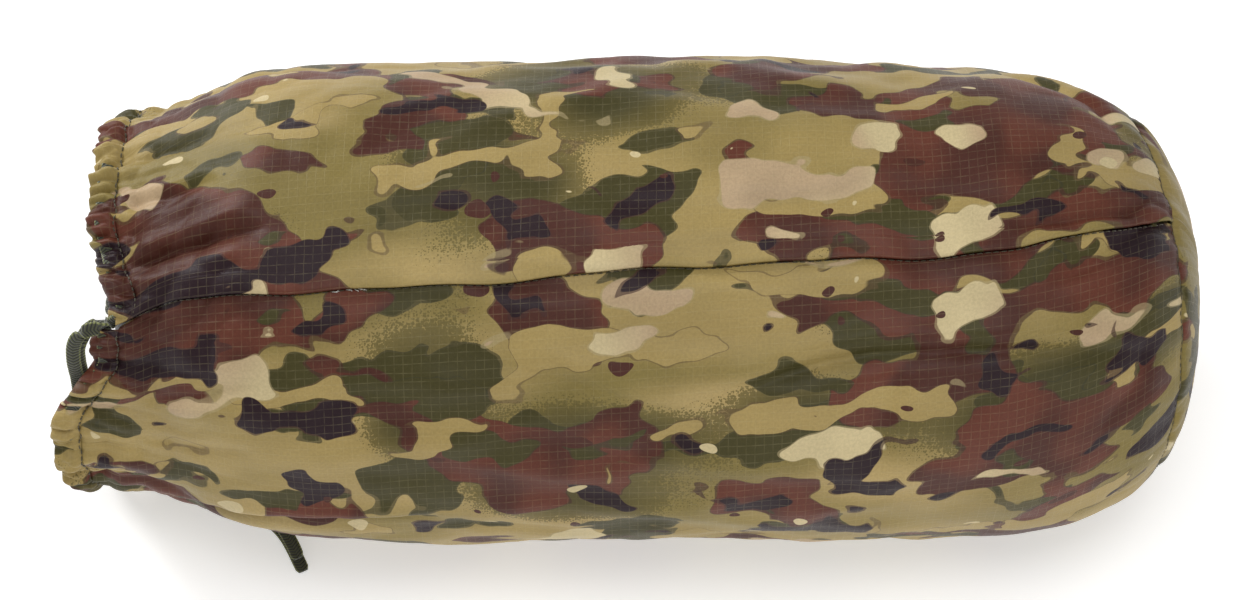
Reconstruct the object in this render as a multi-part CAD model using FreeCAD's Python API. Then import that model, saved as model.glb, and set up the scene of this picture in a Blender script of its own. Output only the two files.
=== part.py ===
import FreeCAD, Part
import math
import os

# A bivy sack packed in its drawcord stuff sack, in millimetres. The sack lies on its side and
# rests on z = 0: its long axis is X, the mouth is at -X and the round base at +X.
# Angles called phi are in degrees round the X axis, from the -Y side up over the top (+Z).

os.makedirs("parts", exist_ok=True)
V = FreeCAD.Vector
X_AXIS = V(1, 0, 0)

# ---- driving dimensions ----
FABRIC = 1.2                    # wall of the sack's soft shell
MOUTH_X = -240.0                # first section, ahead of the slanted mouth cut
SEAM_X = 204.0                  # plane of the base seam
BASE_X = 225.0                  # outermost point of the bulging base
MOUTH_R = 72.0                  # gathered mouth, outside
MOUTH_Y, MOUTH_Z = 6.0, 72.5
EDGE_X = -214.0                 # mouth edge on the mouth's axis
EDGE_LEAN = 11.0                # how far the edge leans to -X at EDGE_PHI
EDGE_PHI = 13.0
HEM_WIDTH, HEM_BUILD = 12.0, 4.0        # drawcord channel: along the sack, radial
NOTCH_FROM, NOTCH_TO = 41.0, 61.0       # phi of the open bay where the cord leaves
CORD_WIDTH, CORD_THICK = 5.0, 1.5       # flat drawcord
THREAD_R = 0.35
ROLL_R = 57.0                           # rolled bivy
ROLL_Y, ROLL_Z = MOUTH_Y, 65.5
ROLL_X0, ROLL_X1 = -188.0, 188.0

# Sack sections, each a table of (x, value)
HALF_WIDTH = [                          # outside, along Y
    (MOUTH_X, MOUTH_R), (-226, MOUTH_R), (-214, 72.3), (-200, 74.6), (-182, 80.0),
    (-166, 85.6), (-139, 92.6), (-112, 95.0), (-87, 96.2), (-52, 97.0), (0, 97.3), (61, 97.0),
    (134, 94.8), (153, 92.4), (173, 88.0), (189, 81.8), (197, 77.4), (SEAM_X, 71.2)]
HEIGHT_RATIO = [                        # half-height over half-width
    (MOUTH_X, 1.0), (-214, 0.998), (-182, 0.98), (-139, 0.958), (SEAM_X, 0.955)]
CENTRE_Z = [
    (MOUTH_X, MOUTH_Z), (-214, 72.6), (-182, 76.0), (-139, 83.2), (-87, 85.4), (0, 86.0),
    (134, 85.4), (173, 83.6), (SEAM_X, 82.6)]
CENTRE_Y = [
    (MOUTH_X, MOUTH_Y), (-214, MOUTH_Y), (-182, 4.8), (-139, 2.2), (-87, 0.4), (-52, 0.0),
    (SEAM_X, 0.0)]


# ---- geometry helpers ----
def ease(table, x):
    """Monotone cubic through a table of (x, value), held constant beyond its ends."""
    if x <= table[0][0]:
        return table[0][1]
    if x >= table[-1][0]:
        return table[-1][1]
    last = len(table) - 1
    i = max(k for k in range(last) if table[k][0] <= x)
    rates = [(table[k + 1][1] - table[k][1]) / (table[k + 1][0] - table[k][0])
             for k in range(last)]

    def slope(k):
        if k == 0:
            return rates[0]
        if k == last:
            return rates[-1]
        before, after = rates[k - 1], rates[k]
        if before * after <= 0:
            return 0.0
        return 2 * before * after / (before + after)

    (x0, value0), (x1, value1) = table[i], table[i + 1]
    span = x1 - x0
    t = (x - x0) / span
    return ((2 * t**3 - 3 * t**2 + 1) * value0 + (t**3 - 2 * t**2 + t) * span * slope(i)
            + (-2 * t**3 + 3 * t**2) * value1 + (t**3 - t**2) * span * slope(i + 1))


def radial(phi):
    """Unit vector square to X, pointing outwards at phi."""
    return V(0, -math.cos(math.radians(phi)), math.sin(math.radians(phi)))


def around(x, half_y, half_z, y, z, phi):
    """Point at phi on an ellipse square to X, centred on (y, z)."""
    out = radial(phi)
    return V(x, y + half_y * out.y, z + half_z * out.z)


def spline(points, closed=False):
    curve = Part.BSplineCurve()
    curve.interpolate(points, PeriodicFlag=closed)
    return curve


def loft(stations):
    """Smooth solid through elliptical rings of (x, half_y, half_z, y, z)."""
    count, start_phi = 20, 66.0
    rings = []
    for station in stations:
        points = [around(*station, start_phi + 360.0 * k / count) for k in range(count)]
        rings.append(Part.Wire([spline(points, True).toShape()]))
    return Part.makeLoft(rings, True, False)


def ruled_loft(outlines):
    """Solid with straight sides through polygons given by their corners."""
    wires = [Part.makePolygon(list(corners) + [corners[0]]) for corners in outlines]
    return Part.makeLoft(wires, True, True)


def turned(x0, x1, r0, r1, phi_from, phi_span):
    """Part ring of rectangular section about the X axis."""
    out = radial(phi_from)
    near, far = V(x0, 0, 0) + out * r0, V(x1, 0, 0) + out * r0
    build = out * (r1 - r0)
    outline = Part.makePolygon([near, far, far + build, near + build, near])
    return Part.Face(outline).revolve(V(0, 0, 0), X_AXIS, -phi_span)


def thread(points, closed=False, radius=THREAD_R):
    """Round thread swept along a spline through the points."""
    curve = spline(points, closed)
    start = curve.FirstParameter
    circle = Part.makeCircle(radius, curve.value(start), curve.tangent(start)[0])
    path = Part.Wire([curve.toShape()])
    return path.makePipeShell([Part.Wire([circle])], True, False)


def direction_at(points, i):
    """Unit direction of a path at point i, taken between its neighbours."""
    along = points[min(i + 1, len(points) - 1)] - points[max(i - 1, 0)]
    along.normalize()
    return along


def ribbon(points, width_hints):
    """Flat cord along the points; each hint says roughly which way its width lies."""
    outlines = []
    for i, (point, hint) in enumerate(zip(points, width_hints)):
        along = direction_at(points, i)
        across = hint - along * hint.dot(along)
        across.normalize()
        half_w = across * (CORD_WIDTH / 2)
        half_t = along.cross(across) * (CORD_THICK / 2)
        outlines.append([point - half_w - half_t, point + half_w - half_t,
                         point + half_w + half_t, point - half_w + half_t])
    return ruled_loft(outlines)


def on_roll(shape):
    """Move a shape built about the X axis onto the axis of the roll."""
    moved = shape.copy()
    moved.translate(V(0, ROLL_Y, ROLL_Z))
    return moved


def save(name, shape):
    solids = shape.Solids
    shape = solids[0] if len(solids) == 1 else Part.makeCompound(solids)
    assert shape.isValid() and shape.Volume > 0, name
    shape.exportStep("parts/" + name + ".step")


# ---- sack surface ----
def section(x):
    """Half-width, half-height and centre (y, z) of the sack's outside at x."""
    half_width = ease(HALF_WIDTH, x)
    return half_width, half_width * ease(HEIGHT_RATIO, x), ease(CENTRE_Y, x), ease(CENTRE_Z, x)


def sack_normal(x, phi):
    """Outward normal of the sack's section, square to X."""
    half_y, half_z = section(x)[:2]
    out = radial(phi)
    normal = V(0, out.y / half_y, out.z / half_z)
    normal.normalize()
    return normal


def on_sack(x, phi, out=0.0):
    return around(x, *section(x), phi) + sack_normal(x, phi) * out


# ---- slanted frame of the mouth: origin on the edge plane, X into the sack ----
edge_normal = X_AXIS + radial(EDGE_PHI) * (EDGE_LEAN / MOUTH_R)
edge_normal.normalize()
EDGE_FRAME = FreeCAD.Placement(V(EDGE_X, MOUTH_Y, MOUTH_Z),
                               FreeCAD.Rotation(X_AXIS, edge_normal))


def tilt(shape):
    """Place a shape built about the X axis in the mouth's slanted frame."""
    tilted = shape.copy()
    tilted.Placement = EDGE_FRAME.multiply(tilted.Placement)
    return tilted


# ---- sack panels ----
def sack_layer(inset):
    """Solid inside the sack's outside, shrunk by inset and flattened on the floor."""
    stations = []
    for x, _ in HALF_WIDTH:
        half_y, half_z, y, z = section(x)
        stations.append((x, half_y - inset, half_z - inset, y, z))
    under_floor = Part.makeBox(900, 600, 200, V(-450, -300, inset - 200))
    return loft(stations).cut(under_floor)


def sack_body_panel():
    """One panel rolled into a tube, cut off just behind the mouth hem."""
    tube = sack_layer(0.0).cut(sack_layer(FABRIC))
    mouth_cut = Part.makeBox(400, 500, 500, V(-400 + HEM_WIDTH + 0.05, -250, -250))
    return tube.cut(tilt(mouth_cut))


SEAM_HALF_Y, SEAM_HALF_Z, _, SEAM_Z = section(SEAM_X)
# Bulge of the base: (x, share of the size at the base seam)
BASE_BULGE = [(SEAM_X + 0.1, 1.0), (209.5, 0.925), (214.5, 0.80), (218.8, 0.64),
              (222.2, 0.44), (224.3, 0.22)]
BASE_TIP_OUT = (3.0, 2.9)       # half-width and half-height of the bulge's end
BASE_TIP_IN = (1.6, 1.5)


def sack_base_panel():
    """Round bulging end panel."""
    outer, inner = [], []
    for i, (x, share) in enumerate(BASE_BULGE):
        half_y, half_z = SEAM_HALF_Y * share, SEAM_HALF_Z * share
        inner_x = x if i == 0 else x - FABRIC
        outer.append((x, half_y, half_z, 0.0, SEAM_Z))
        inner.append((inner_x, half_y - FABRIC, half_z - FABRIC, 0.0, SEAM_Z))
    outer.append((BASE_X, *BASE_TIP_OUT, 0.0, SEAM_Z))
    inner.append((BASE_X - FABRIC, *BASE_TIP_IN, 0.0, SEAM_Z))
    return loft(outer).cut(loft(inner))


def base_seam_binding():
    """Seam allowance: a flat ring just inside the base seam."""
    def plug(x0, x1, gap):
        half_y, half_z = SEAM_HALF_Y - FABRIC - gap, SEAM_HALF_Z - FABRIC - gap
        return loft([(x, half_y, half_z, 0.0, SEAM_Z) for x in (x0, x1)])
    return plug(196.0, 203.6, 0.4).cut(plug(195.0, 204.6, 2.6))


def base_seam_stitching():
    x, lift, count = 194.0, 2.1, 24
    half_y, half_z, y, z = section(x)
    return thread([around(x, half_y + lift, half_z + lift, y, z, 360.0 / count * k)
                   for k in range(count)], True)


# ---- mouth hem ----
HEM_SPAN = 360 - (NOTCH_TO - NOTCH_FROM)
CHANNEL_DEPTHS = (3.2, 0.7)     # channel's inner and outer face, in from MOUTH_R
HEM_CORD_X = 6.8                # middle of the cord, from the mouth edge


def mouth_hem():
    """C-shaped channel, open at the notch."""
    hem = turned(0, HEM_WIDTH, MOUTH_R - HEM_BUILD, MOUTH_R, NOTCH_TO, HEM_SPAN)
    inner, outer = [MOUTH_R - depth for depth in CHANNEL_DEPTHS]
    return tilt(hem.cut(turned(2.6, 10.0, inner, outer, NOTCH_TO - 1, HEM_SPAN + 2)))


def mouth_hem_stitching():
    return tilt(Part.makeTorus(MOUTH_R + 0.45, THREAD_R, V(10.9, 0, 0), X_AXIS, 0, 360))


def drawcord_in_hem():
    middle_r = MOUTH_R - sum(CHANNEL_DEPTHS) / 2
    end_gap = 0.6               # degrees short of the notch at each end
    return tilt(turned(HEM_CORD_X - CORD_WIDTH / 2, HEM_CORD_X + CORD_WIDTH / 2,
                       middle_r - CORD_THICK / 2, middle_r + CORD_THICK / 2,
                       NOTCH_TO + end_gap, HEM_SPAN - 2 * end_gap))


# ---- side seam ----
SEAM_PHI = [                    # (x, phi of the seam)
    (MOUTH_X, 55.0), (-196, 55.8), (-190, 57.0), (-180, 60.0), (-168, 62.5), (-120, 65.0),
    (-78, 67.0), (-11, 69.4), (55, 71.8), (105, 73.8), (142, 76.2), (162, 78.8), (182, 82.6),
    (201, 88.5), (212, 92.5)]
LAP_X = [-196, -190, -182, -174, -166, -156, -146, -139, -126, -112, -100, -87, -70, -52, -26,
         0, 30, 61, 98, 134, 144, 153, 163, 173, 181, 189, 195, 201]
LAP_HALF_WIDTH = 4.5
LAP_BOTTOM, LAP_TOP = 0.35, 1.25        # above the sack's surface


def side_seam_lap():
    outlines = []
    for x in LAP_X:
        phi = ease(SEAM_PHI, x)
        half_phi = math.degrees(LAP_HALF_WIDTH / section(x)[0])
        low, high = on_sack(x, phi - half_phi), on_sack(x, phi + half_phi)
        normal = sack_normal(x, phi)
        outlines.append([low + normal * LAP_BOTTOM, high + normal * LAP_BOTTOM,
                         high + normal * LAP_TOP, low + normal * LAP_TOP])
    return ruled_loft(outlines)


def side_seam_stitching():
    phi_shift, lift = 1.1, 1.9
    return thread([on_sack(x, ease(SEAM_PHI, x) + phi_shift, lift) for x in LAP_X[1:-2]])


# ---- drawcord outside the hem ----
# Strands across the mouth: (x, phi, radius) about the mouth's centre
STRAND_FRONT = [                # the one nearer -X
    (-215.6, 60.8, 70.1), (-218.4, 56, 70.9), (-221.2, 51, 70.6), (-222.3, 46.5, 68.6),
    (-222.3, 42, 66.6), (-222.2, 36, 65.9), (-222.2, 18, 65.8), (-222.2, 0, 65.8),
    (-222.2, -20, 65.8), (-222.2, -36, 66.2), (-222.3, -50, 67.6), (-222.0, -60, 70.4)]
STRAND_REAR = [
    (-216.8, 40.5, 70.1), (-216.8, 43.0, 69.9), (-216.8, 44.4, 68.6), (-216.8, 44.2, 67.0),
    (-216.8, 42.4, 66.0), (-216.8, 36, 65.9), (-216.8, 18, 65.8), (-216.8, 0, 65.8),
    (-216.8, -20, 65.8), (-216.8, -36, 65.9), (-216.9, -48, 66.2), (-217.0, -57, 66.9)]
# Paths on the floor: (x, y)
FLOOR_LANE = [(-207.0, -31.0), (-198.0, -36.0), (-188.0, -40.5), (-176.0, -44.5),
              (-164.0, -47.5), (-152.0, -50.0), (-145.0, -52.0), (-140.0, -54.5)]
TAIL_ROOT = (-134.6, -58.4)
TAIL_FRONT = [TAIL_ROOT, (-131.4, -61.6), (-128.6, -66.2), (-126.2, -71.4), (-123.8, -76.8)]
TAIL_REAR = [TAIL_ROOT, (-130.6, -60.6), (-126.4, -62.6), (-121.6, -65.0)]
FLOOR_CORD_Z = 0.2 + CORD_THICK / 2


def resample(points, step):
    """Points about one step apart on a spline through the given points."""
    curve = spline(points)
    params = [curve.parameter(point) for point in points]
    sampled = []
    for i in range(len(points) - 1):
        count = max(1, int(round((points[i + 1] - points[i]).Length / step)))
        for k in range(count):
            sampled.append(curve.value(params[i] + (params[i + 1] - params[i]) * k / count))
    return sampled + [points[-1]]


def mouth_strand(table, step):
    points = resample([around(x, r, r, MOUTH_Y, MOUTH_Z, phi) for x, phi, r in table], step)
    return ribbon(points, [V(-1, 0, 0)] * len(points))


def drawcord_loop():
    return Part.makeCompound([mouth_strand(STRAND_FRONT, 2.5), mouth_strand(STRAND_REAR, 1.6)])


def flat_cord(path, z, offset=0.0):
    """Cord lying flat at height z, moved sideways from its (x, y) path by offset."""
    centres = [V(x, y, z) for x, y in path]
    sideways = []
    for i in range(len(centres)):
        along = direction_at(centres, i)
        sideways.append(V(-along.y, along.x, 0))
    points = [centre + side * offset for centre, side in zip(centres, sideways)]
    return ribbon(points, sideways)


def drawcord_floor_run():
    """Two strands side by side on the floor, under the overhang of the sack."""
    offset = CORD_WIDTH / 2 + 0.2
    return Part.makeCompound([flat_cord(FLOOR_LANE, FLOOR_CORD_Z, side * offset)
                              for side in (1, -1)])


def drawcord_tail_rear():
    """Tail that lies over the front one at their shared root."""
    return flat_cord(TAIL_REAR, FLOOR_CORD_Z + CORD_THICK + 0.3)


# ---- rolled bivy ----
LAYER_THICK, LAYER_GAP = 5.4, 0.45      # rolled layers and the air between them
TURNS_FROM, TURNS_TO = 0.75, 4.0
POINTS_PER_TURN = 14


def spiral_layer(start_phi, end_inset):
    """One of the two layers rolled together, set in from the roll's ends."""
    pitch = 2 * (LAYER_THICK + LAYER_GAP)
    x0, x1 = ROLL_X0 + end_inset, ROLL_X1 - end_inset
    steps = int(round((TURNS_TO - TURNS_FROM) * POINTS_PER_TURN))

    def spiral(build):
        points = []
        for k in range(steps + 1):
            turn = TURNS_FROM + (TURNS_TO - TURNS_FROM) * k / steps
            r = ROLL_R - LAYER_THICK - (TURNS_TO - turn) * pitch + build
            points.append(around(x0, r, r, ROLL_Y, ROLL_Z, 360 * turn + start_phi))
        return points

    inner, outer = spiral(0.0), spiral(LAYER_THICK)
    outline = Part.Wire([spline(inner).toShape(), Part.makeLine(inner[-1], outer[-1]),
                         spline(outer).toShape(), Part.makeLine(outer[0], inner[0])])
    return Part.Face(outline).extrude(V(x1 - x0, 0, 0))


def bivy_hood_panel():
    """Hood wrapped most of the way round the roll, clear of the zip."""
    return on_roll(turned(-138, 150, ROLL_R + 0.3, ROLL_R + 1.9, 20, 300))


# ---- zip wound round the roll ----
ZIP_X = -165.0                          # centre line of the chain
ZIP_FROM, ZIP_TO = 72.0, 196.0          # phi the chain covers
ZIP_SPAN = ZIP_TO - ZIP_FROM
TAPE_R = ROLL_R + 1.3
COIL_R = TAPE_R + 0.75
CHAIN_GAP = 0.9                         # centre line to tape and coil
SLIDER_PHI = 92.0                       # slider at rest
SLIDER_HALF_SPAN = 6.0                  # degrees
SLIDER_HALF_WIDTH = 4.6
BRIDGE_R = COIL_R + 2.4
BRIDGE_OPENING, BRIDGE_HEIGHT = 1.7, 2.6
BRIDGE_HALF_SPAN, BRIDGE_LEG_SPAN = 4.2, 1.3    # degrees
PULL_HALF_WIDTH, PULL_HALF_THICK = 3.5, 0.6


def zip_centred(half_width, *ring):
    """Ring across the chain; ring is (r0, r1, phi_from, phi_span)."""
    return turned(ZIP_X - half_width, ZIP_X + half_width, *ring)


def zip_pair(near, far, *ring):
    """Rings on the -X and +X side, from near to far off the centre line."""
    return [turned(ZIP_X - far, ZIP_X - near, *ring),
            turned(ZIP_X + near, ZIP_X + far, *ring)]


def zip_tapes():
    return [on_roll(tape) for tape in
            zip_pair(CHAIN_GAP, 13.0, TAPE_R, TAPE_R + 0.7, ZIP_FROM, ZIP_SPAN)]


def zip_coils():
    end_gap = 3                         # degrees of bare tape at each end
    return on_roll(Part.makeCompound(zip_pair(
        CHAIN_GAP, 3.2, COIL_R, COIL_R + 1.4, ZIP_FROM + end_gap, ZIP_SPAN - 2 * end_gap)))


def zip_stops():
    """Two stops at the low-phi end, one across both coils at the other."""
    half_width, top_r, span = 4.0, COIL_R + 1.9, 1.8
    stops = zip_pair(0.7, half_width, COIL_R, top_r, ZIP_FROM + 0.8, span)
    stops.append(zip_centred(half_width, COIL_R, top_r, ZIP_TO - 2.6, span))
    return on_roll(Part.makeCompound(stops))


def zip_slider():
    """Two plates, side flanges, a post between the coils and a bridge for the pull."""
    start, span = SLIDER_PHI - SLIDER_HALF_SPAN, 2 * SLIDER_HALF_SPAN
    half = SLIDER_HALF_WIDTH
    lower = zip_centred(half, TAPE_R - 0.95, TAPE_R - 0.15, start, span)
    upper = zip_centred(half, COIL_R + 1.55, COIL_R + 2.5, start, span)
    flanges = zip_pair(half - 1.0, half, COIL_R + 0.25, COIL_R + 1.7, start, span)
    post = zip_centred(0.65, TAPE_R - 0.3, COIL_R + 1.7, start + 0.5, 4.0)
    slider = lower.fuse([upper, *flanges, post])

    bridge_start = SLIDER_PHI - BRIDGE_HALF_SPAN
    bridge_top = BRIDGE_R + BRIDGE_HEIGHT
    legs = [zip_centred(1.0, BRIDGE_R, bridge_top, phi, BRIDGE_LEG_SPAN)
            for phi in (bridge_start, SLIDER_PHI + BRIDGE_HALF_SPAN - BRIDGE_LEG_SPAN)]
    bar = zip_centred(1.0, BRIDGE_R + BRIDGE_OPENING, bridge_top,
                      bridge_start, 2 * BRIDGE_HALF_SPAN)
    return on_roll(slider.fuse([*legs, bar]).removeSplitter())


def zip_pull():
    """Flat tab with a window; its pin sits under the slider's bridge."""
    out = radial(SLIDER_PHI)
    along = V(0, out.z, -out.y)         # along the chain, phi growing
    origin = V(ZIP_X, 0, 0) + out * (BRIDGE_R + BRIDGE_OPENING / 2)
    half = PULL_HALF_WIDTH

    def slab(from_pin, to_pin, x0, x1):
        base = origin - out * PULL_HALF_THICK
        corners = [base + V(x, 0, 0) + along * reach for x, reach in
                   ((x0, from_pin), (x1, from_pin), (x1, to_pin), (x0, to_pin))]
        face = Part.Face(Part.makePolygon(corners + [corners[0]]))
        return face.extrude(out * (2 * PULL_HALF_THICK))

    pin = Part.makeCylinder(PULL_HALF_THICK, 2 * half, origin - V(half, 0, 0), X_AXIS)
    arms = slab(0.0, 7.6, -half, -2.1).fuse(slab(0.0, 7.6, 2.1, half))
    tab = slab(6.2, 18.0, -half, half)
    return on_roll(pin.fuse([arms, tab]).removeSplitter())


# ---- hood cord lock, upright in the mouth on the -X side of the roll ----
LOCK = V(-203.0, ROLL_Y, 66.0)          # where the cord's axis crosses the lock's
SLOT_WIDTH, SLOT_HEIGHT = 6.4, 3.0
BUTTON_R = 5.0


def lock_cylinder(radius, height, z):
    """Upright cylinder whose bottom is z above the lock's centre."""
    return Part.makeCylinder(radius, height, LOCK + V(0, 0, z))


def lock_slot(height, z):
    length = 20
    return Part.makeBox(length, SLOT_WIDTH, height,
                        LOCK + V(-length / 2, -SLOT_WIDTH / 2, z))


def hood_lock_barrel():
    barrel = lock_cylinder(7.0, 16.8, -10.8)
    barrel = barrel.cut(lock_cylinder(BUTTON_R + 0.05, 20.0, -9.2))
    return barrel.cut(lock_slot(SLOT_HEIGHT + 0.4, -SLOT_HEIGHT / 2 - 0.2))


def hood_lock_button():
    stem_z, stem_height = -2.6, 12.8
    stem = lock_cylinder(BUTTON_R, stem_height, stem_z)
    button = stem.fuse(lock_cylinder(6.2, 2.2, stem_z + stem_height))
    button = button.cut(lock_slot(SLOT_HEIGHT + 4.2, -SLOT_HEIGHT / 2 - 0.1))
    return button.removeSplitter()


def hood_lock_spring():
    bottom, height, turns, coil_r, wire_r, steps = -8.7, 5.6, 3.5, 3.6, 0.45, 56
    points = []
    for k in range(steps + 1):
        angle = 2 * math.pi * turns * k / steps
        points.append(LOCK + V(coil_r * math.cos(angle), coil_r * math.sin(angle),
                               bottom + height * k / steps))
    return thread(points, radius=wire_r)


def hood_drawcord():
    """Two round strands from the roll's end through the lock."""
    return Part.makeCompound([
        Part.makeCylinder(1.15, 30.0, V(-217.0, LOCK.y + side * 1.55, LOCK.z), X_AXIS)
        for side in (-1, 1)])


def stake_loops():
    """Flat webbing loops folded against the roll's mouth end."""
    loops = []
    for phi in (150.0, 200.0, 250.0):
        centre = around(ROLL_X0, 40.0, 40.0, ROLL_Y, ROLL_Z, phi)
        loop = Part.makeBox(11.0, 14.0, 3.6, centre + V(-11.4, -7.0, -1.8))
        opening = Part.makeBox(8.0, 16.0, 1.4, centre + V(-9.9, -8.0, -0.7))
        loops.append(loop.cut(opening))
    return Part.makeCompound(loops)


# ---- build every piece ----
for build_piece in (
        sack_body_panel, sack_base_panel, base_seam_binding, mouth_hem, mouth_hem_stitching,
        drawcord_in_hem, side_seam_lap, side_seam_stitching, base_seam_stitching,
        drawcord_loop, drawcord_floor_run, drawcord_tail_rear, bivy_hood_panel, zip_coils,
        zip_stops, zip_slider, zip_pull, hood_lock_barrel, hood_lock_button,
        hood_lock_spring, hood_drawcord, stake_loops):
    save(build_piece.__name__, build_piece())

save("drawcord_tail_front", flat_cord(TAIL_FRONT, FLOOR_CORD_Z))
save("bivy_floor_panel", spiral_layer(start_phi=0.0, end_inset=0))
save("bivy_top_panel", spiral_layer(start_phi=180.0, end_inset=4))
for side_name, tape in zip(("left", "right"), zip_tapes()):
    save("zip_tape_" + side_name, tape)
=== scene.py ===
# A bivy bag rolled up in its camouflage stuff sack, lying on the ground.
# The sack lies along X: gathered mouth at -X, round base at +X; +Z is up and the
# camera looks down from the -Y side. Lengths are mm until a mesh is made, except
# where a name or comment says metres. phi is the angle round the sack in degrees:
# 0 on the -Y side, 90 on top, 180 on the +Y side, 270 underneath.
import math

import bmesh
import bpy
import numpy as np
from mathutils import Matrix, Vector


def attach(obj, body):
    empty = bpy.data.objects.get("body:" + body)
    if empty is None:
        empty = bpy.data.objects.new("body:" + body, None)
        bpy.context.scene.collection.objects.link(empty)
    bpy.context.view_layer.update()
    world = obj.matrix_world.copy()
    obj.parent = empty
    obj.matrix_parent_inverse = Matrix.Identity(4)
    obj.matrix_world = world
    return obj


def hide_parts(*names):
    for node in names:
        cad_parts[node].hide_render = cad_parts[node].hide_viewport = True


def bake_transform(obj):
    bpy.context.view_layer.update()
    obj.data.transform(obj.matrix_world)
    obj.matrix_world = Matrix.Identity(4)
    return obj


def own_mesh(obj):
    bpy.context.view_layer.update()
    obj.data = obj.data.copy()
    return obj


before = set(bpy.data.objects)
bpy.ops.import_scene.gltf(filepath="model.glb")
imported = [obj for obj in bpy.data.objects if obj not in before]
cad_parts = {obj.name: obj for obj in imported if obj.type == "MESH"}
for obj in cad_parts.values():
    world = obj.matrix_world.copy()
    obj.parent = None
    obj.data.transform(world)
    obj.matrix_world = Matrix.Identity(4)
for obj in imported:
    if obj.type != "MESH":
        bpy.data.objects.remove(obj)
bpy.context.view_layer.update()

MM = 0.001

# ------------------------------------------------------------------ shape of the sack
# (X, half width along Y)
PROFILE = [
    (-240, 72.0), (-226, 72.0), (-214, 72.3), (-200, 74.6), (-182, 80.0), (-166, 85.6),
    (-139, 92.6), (-112, 95.0), (-87, 96.2), (-52, 97.0), (0, 97.3), (61, 97.0), (134, 94.8),
    (153, 92.4), (173, 88.0), (189, 81.8), (197, 77.4), (204, 71.2), (214, 60.0)]
# (X, half height over half width)
ASPECT = [(-240, 1.0), (-214, 0.998), (-182, 0.98), (-139, 0.958), (204, 0.955)]
# (X, Z of the section's centre)
CENTRE = [(-240, 72.5), (-214, 72.6), (-182, 76.0), (-139, 83.2), (-87, 85.4), (0, 86.0),
          (134, 85.4), (173, 83.6), (204, 82.6)]
# (X, Y of the section's centre)
SHIFT = [(-240, 6.0), (-214, 6.0), (-182, 4.8), (-139, 2.2), (-87, 0.4), (-52, 0.0), (204, 0.0)]
# side seam: (X, phi)
SEAM = [(-240, 55.0), (-196, 55.8), (-190, 57.0), (-180, 60.0), (-168, 62.5), (-120, 65.0),
        (-78, 67.0), (-11, 69.4), (55, 71.8), (105, 73.8), (142, 76.2), (162, 78.8),
        (182, 82.6), (201, 88.5), (212, 92.5)]
# mouth edge, once round: (phi, X)
EDGE = [(-60, -214.5), (-42, -218.0), (-25, -222.4), (-3, -224.4), (14, -224.4), (21, -222.8),
        (30, -216.6), (37, -211.2), (43.5, -205.6), (49, -205.2), (54.5, -204.6),
        (58.6, -197.6), (62, -197.4), (72, -202.0), (87, -207.0), (110, -207.8), (134, -208.0),
        (160, -205.5), (190, -206.5), (220, -210.0), (255, -214.0), (300, -214.5)]
# base seam, once round: (phi, X)
BASE_SEAM = [(-60, 204.6), (-33, 206.6), (5, 208.6), (39, 210.6), (64, 209.8), (92, 207.0),
             (114, 202.8), (133, 198.0), (160, 195.6), (200, 195.8), (250, 199.6), (300, 204.6)]
TABLE_START = -60.0     # phi at which the two tables above begin

MM_PER_DEG = 1.66       # arc length of a degree of phi
HEM_DEPTH = 11.0        # the panel starts this far behind the mouth edge
HEM_STITCH = 10.9       # stitch row behind the mouth edge
GROUND_SOFTNESS = 2.6   # how gradually cloth flattens at Z = 0


def ease(table, x):
    """Monotone cubic through a table, on an array of x."""
    table_x, table_y = np.array(table, float).T
    x = np.clip(np.asarray(x, float), table_x[0], table_x[-1])
    i = np.clip(np.searchsorted(table_x, x, side="right") - 1, 0, len(table_x) - 2)
    slope = np.diff(table_y) / np.diff(table_x)
    tangent = np.empty(len(table_x))
    tangent[0], tangent[-1] = slope[0], slope[-1]
    for k in range(1, len(table_x) - 1):
        before, after = slope[k - 1], slope[k]
        tangent[k] = 0.0 if before * after <= 0 else 2 * before * after / (before + after)
    gap = table_x[i + 1] - table_x[i]
    t = (x - table_x[i]) / gap
    return ((2 * t**3 - 3 * t**2 + 1) * table_y[i] + (t**3 - 2 * t**2 + t) * gap * tangent[i]
            + (-2 * t**3 + 3 * t**2) * table_y[i + 1] + (t**3 - t**2) * gap * tangent[i + 1])


def wrap(angle, start=-180.0):
    """Degrees brought into the turn that begins at start."""
    return (angle - start) % 360.0 + start


def section(x):
    """Half width, half height, centre Y and centre Z at x."""
    half_width = ease(PROFILE, x)
    return half_width, half_width * ease(ASPECT, x), ease(SHIFT, x), ease(CENTRE, x)


def seam_phi(x):
    return ease(SEAM, x)


def seam_wave(x):
    """Sideways wander of the side seam, degrees."""
    x = np.asarray(x, float)
    return 0.55 * np.sin(x / 31.0 + 0.6) + 0.35 * np.sin(x / 13.0 + 2.0) + 0.2 * np.sin(x / 6.1)


def seam_line(x):
    return seam_phi(x) + seam_wave(x)


def edge_x(phi):
    return ease(EDGE, wrap(np.asarray(phi, float), TABLE_START))


def base_seam_x(phi):
    phi = np.asarray(phi, float)
    return ease(BASE_SEAM, wrap(phi, TABLE_START)) + 0.3 * np.sin(np.radians(phi * 23.0))


def unit(vectors):
    return vectors / (np.linalg.norm(vectors, axis=-1, keepdims=True) + 1e-12)


def bare_sack(x, phi):
    """Points of the smooth sack, and its outward normals."""
    half_width, half_height, y, z = section(x)
    cos, sin = np.cos(np.radians(phi)), np.sin(np.radians(phi))
    points = np.stack([x, y - half_width * cos, z + half_height * sin], -1)
    return points, unit(np.stack([0 * x, -cos / half_width, sin / half_height], -1))


def rest_on_ground(z):
    return 0.5 * (z + np.sqrt(z * z + GROUND_SOFTNESS ** 2))


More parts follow.
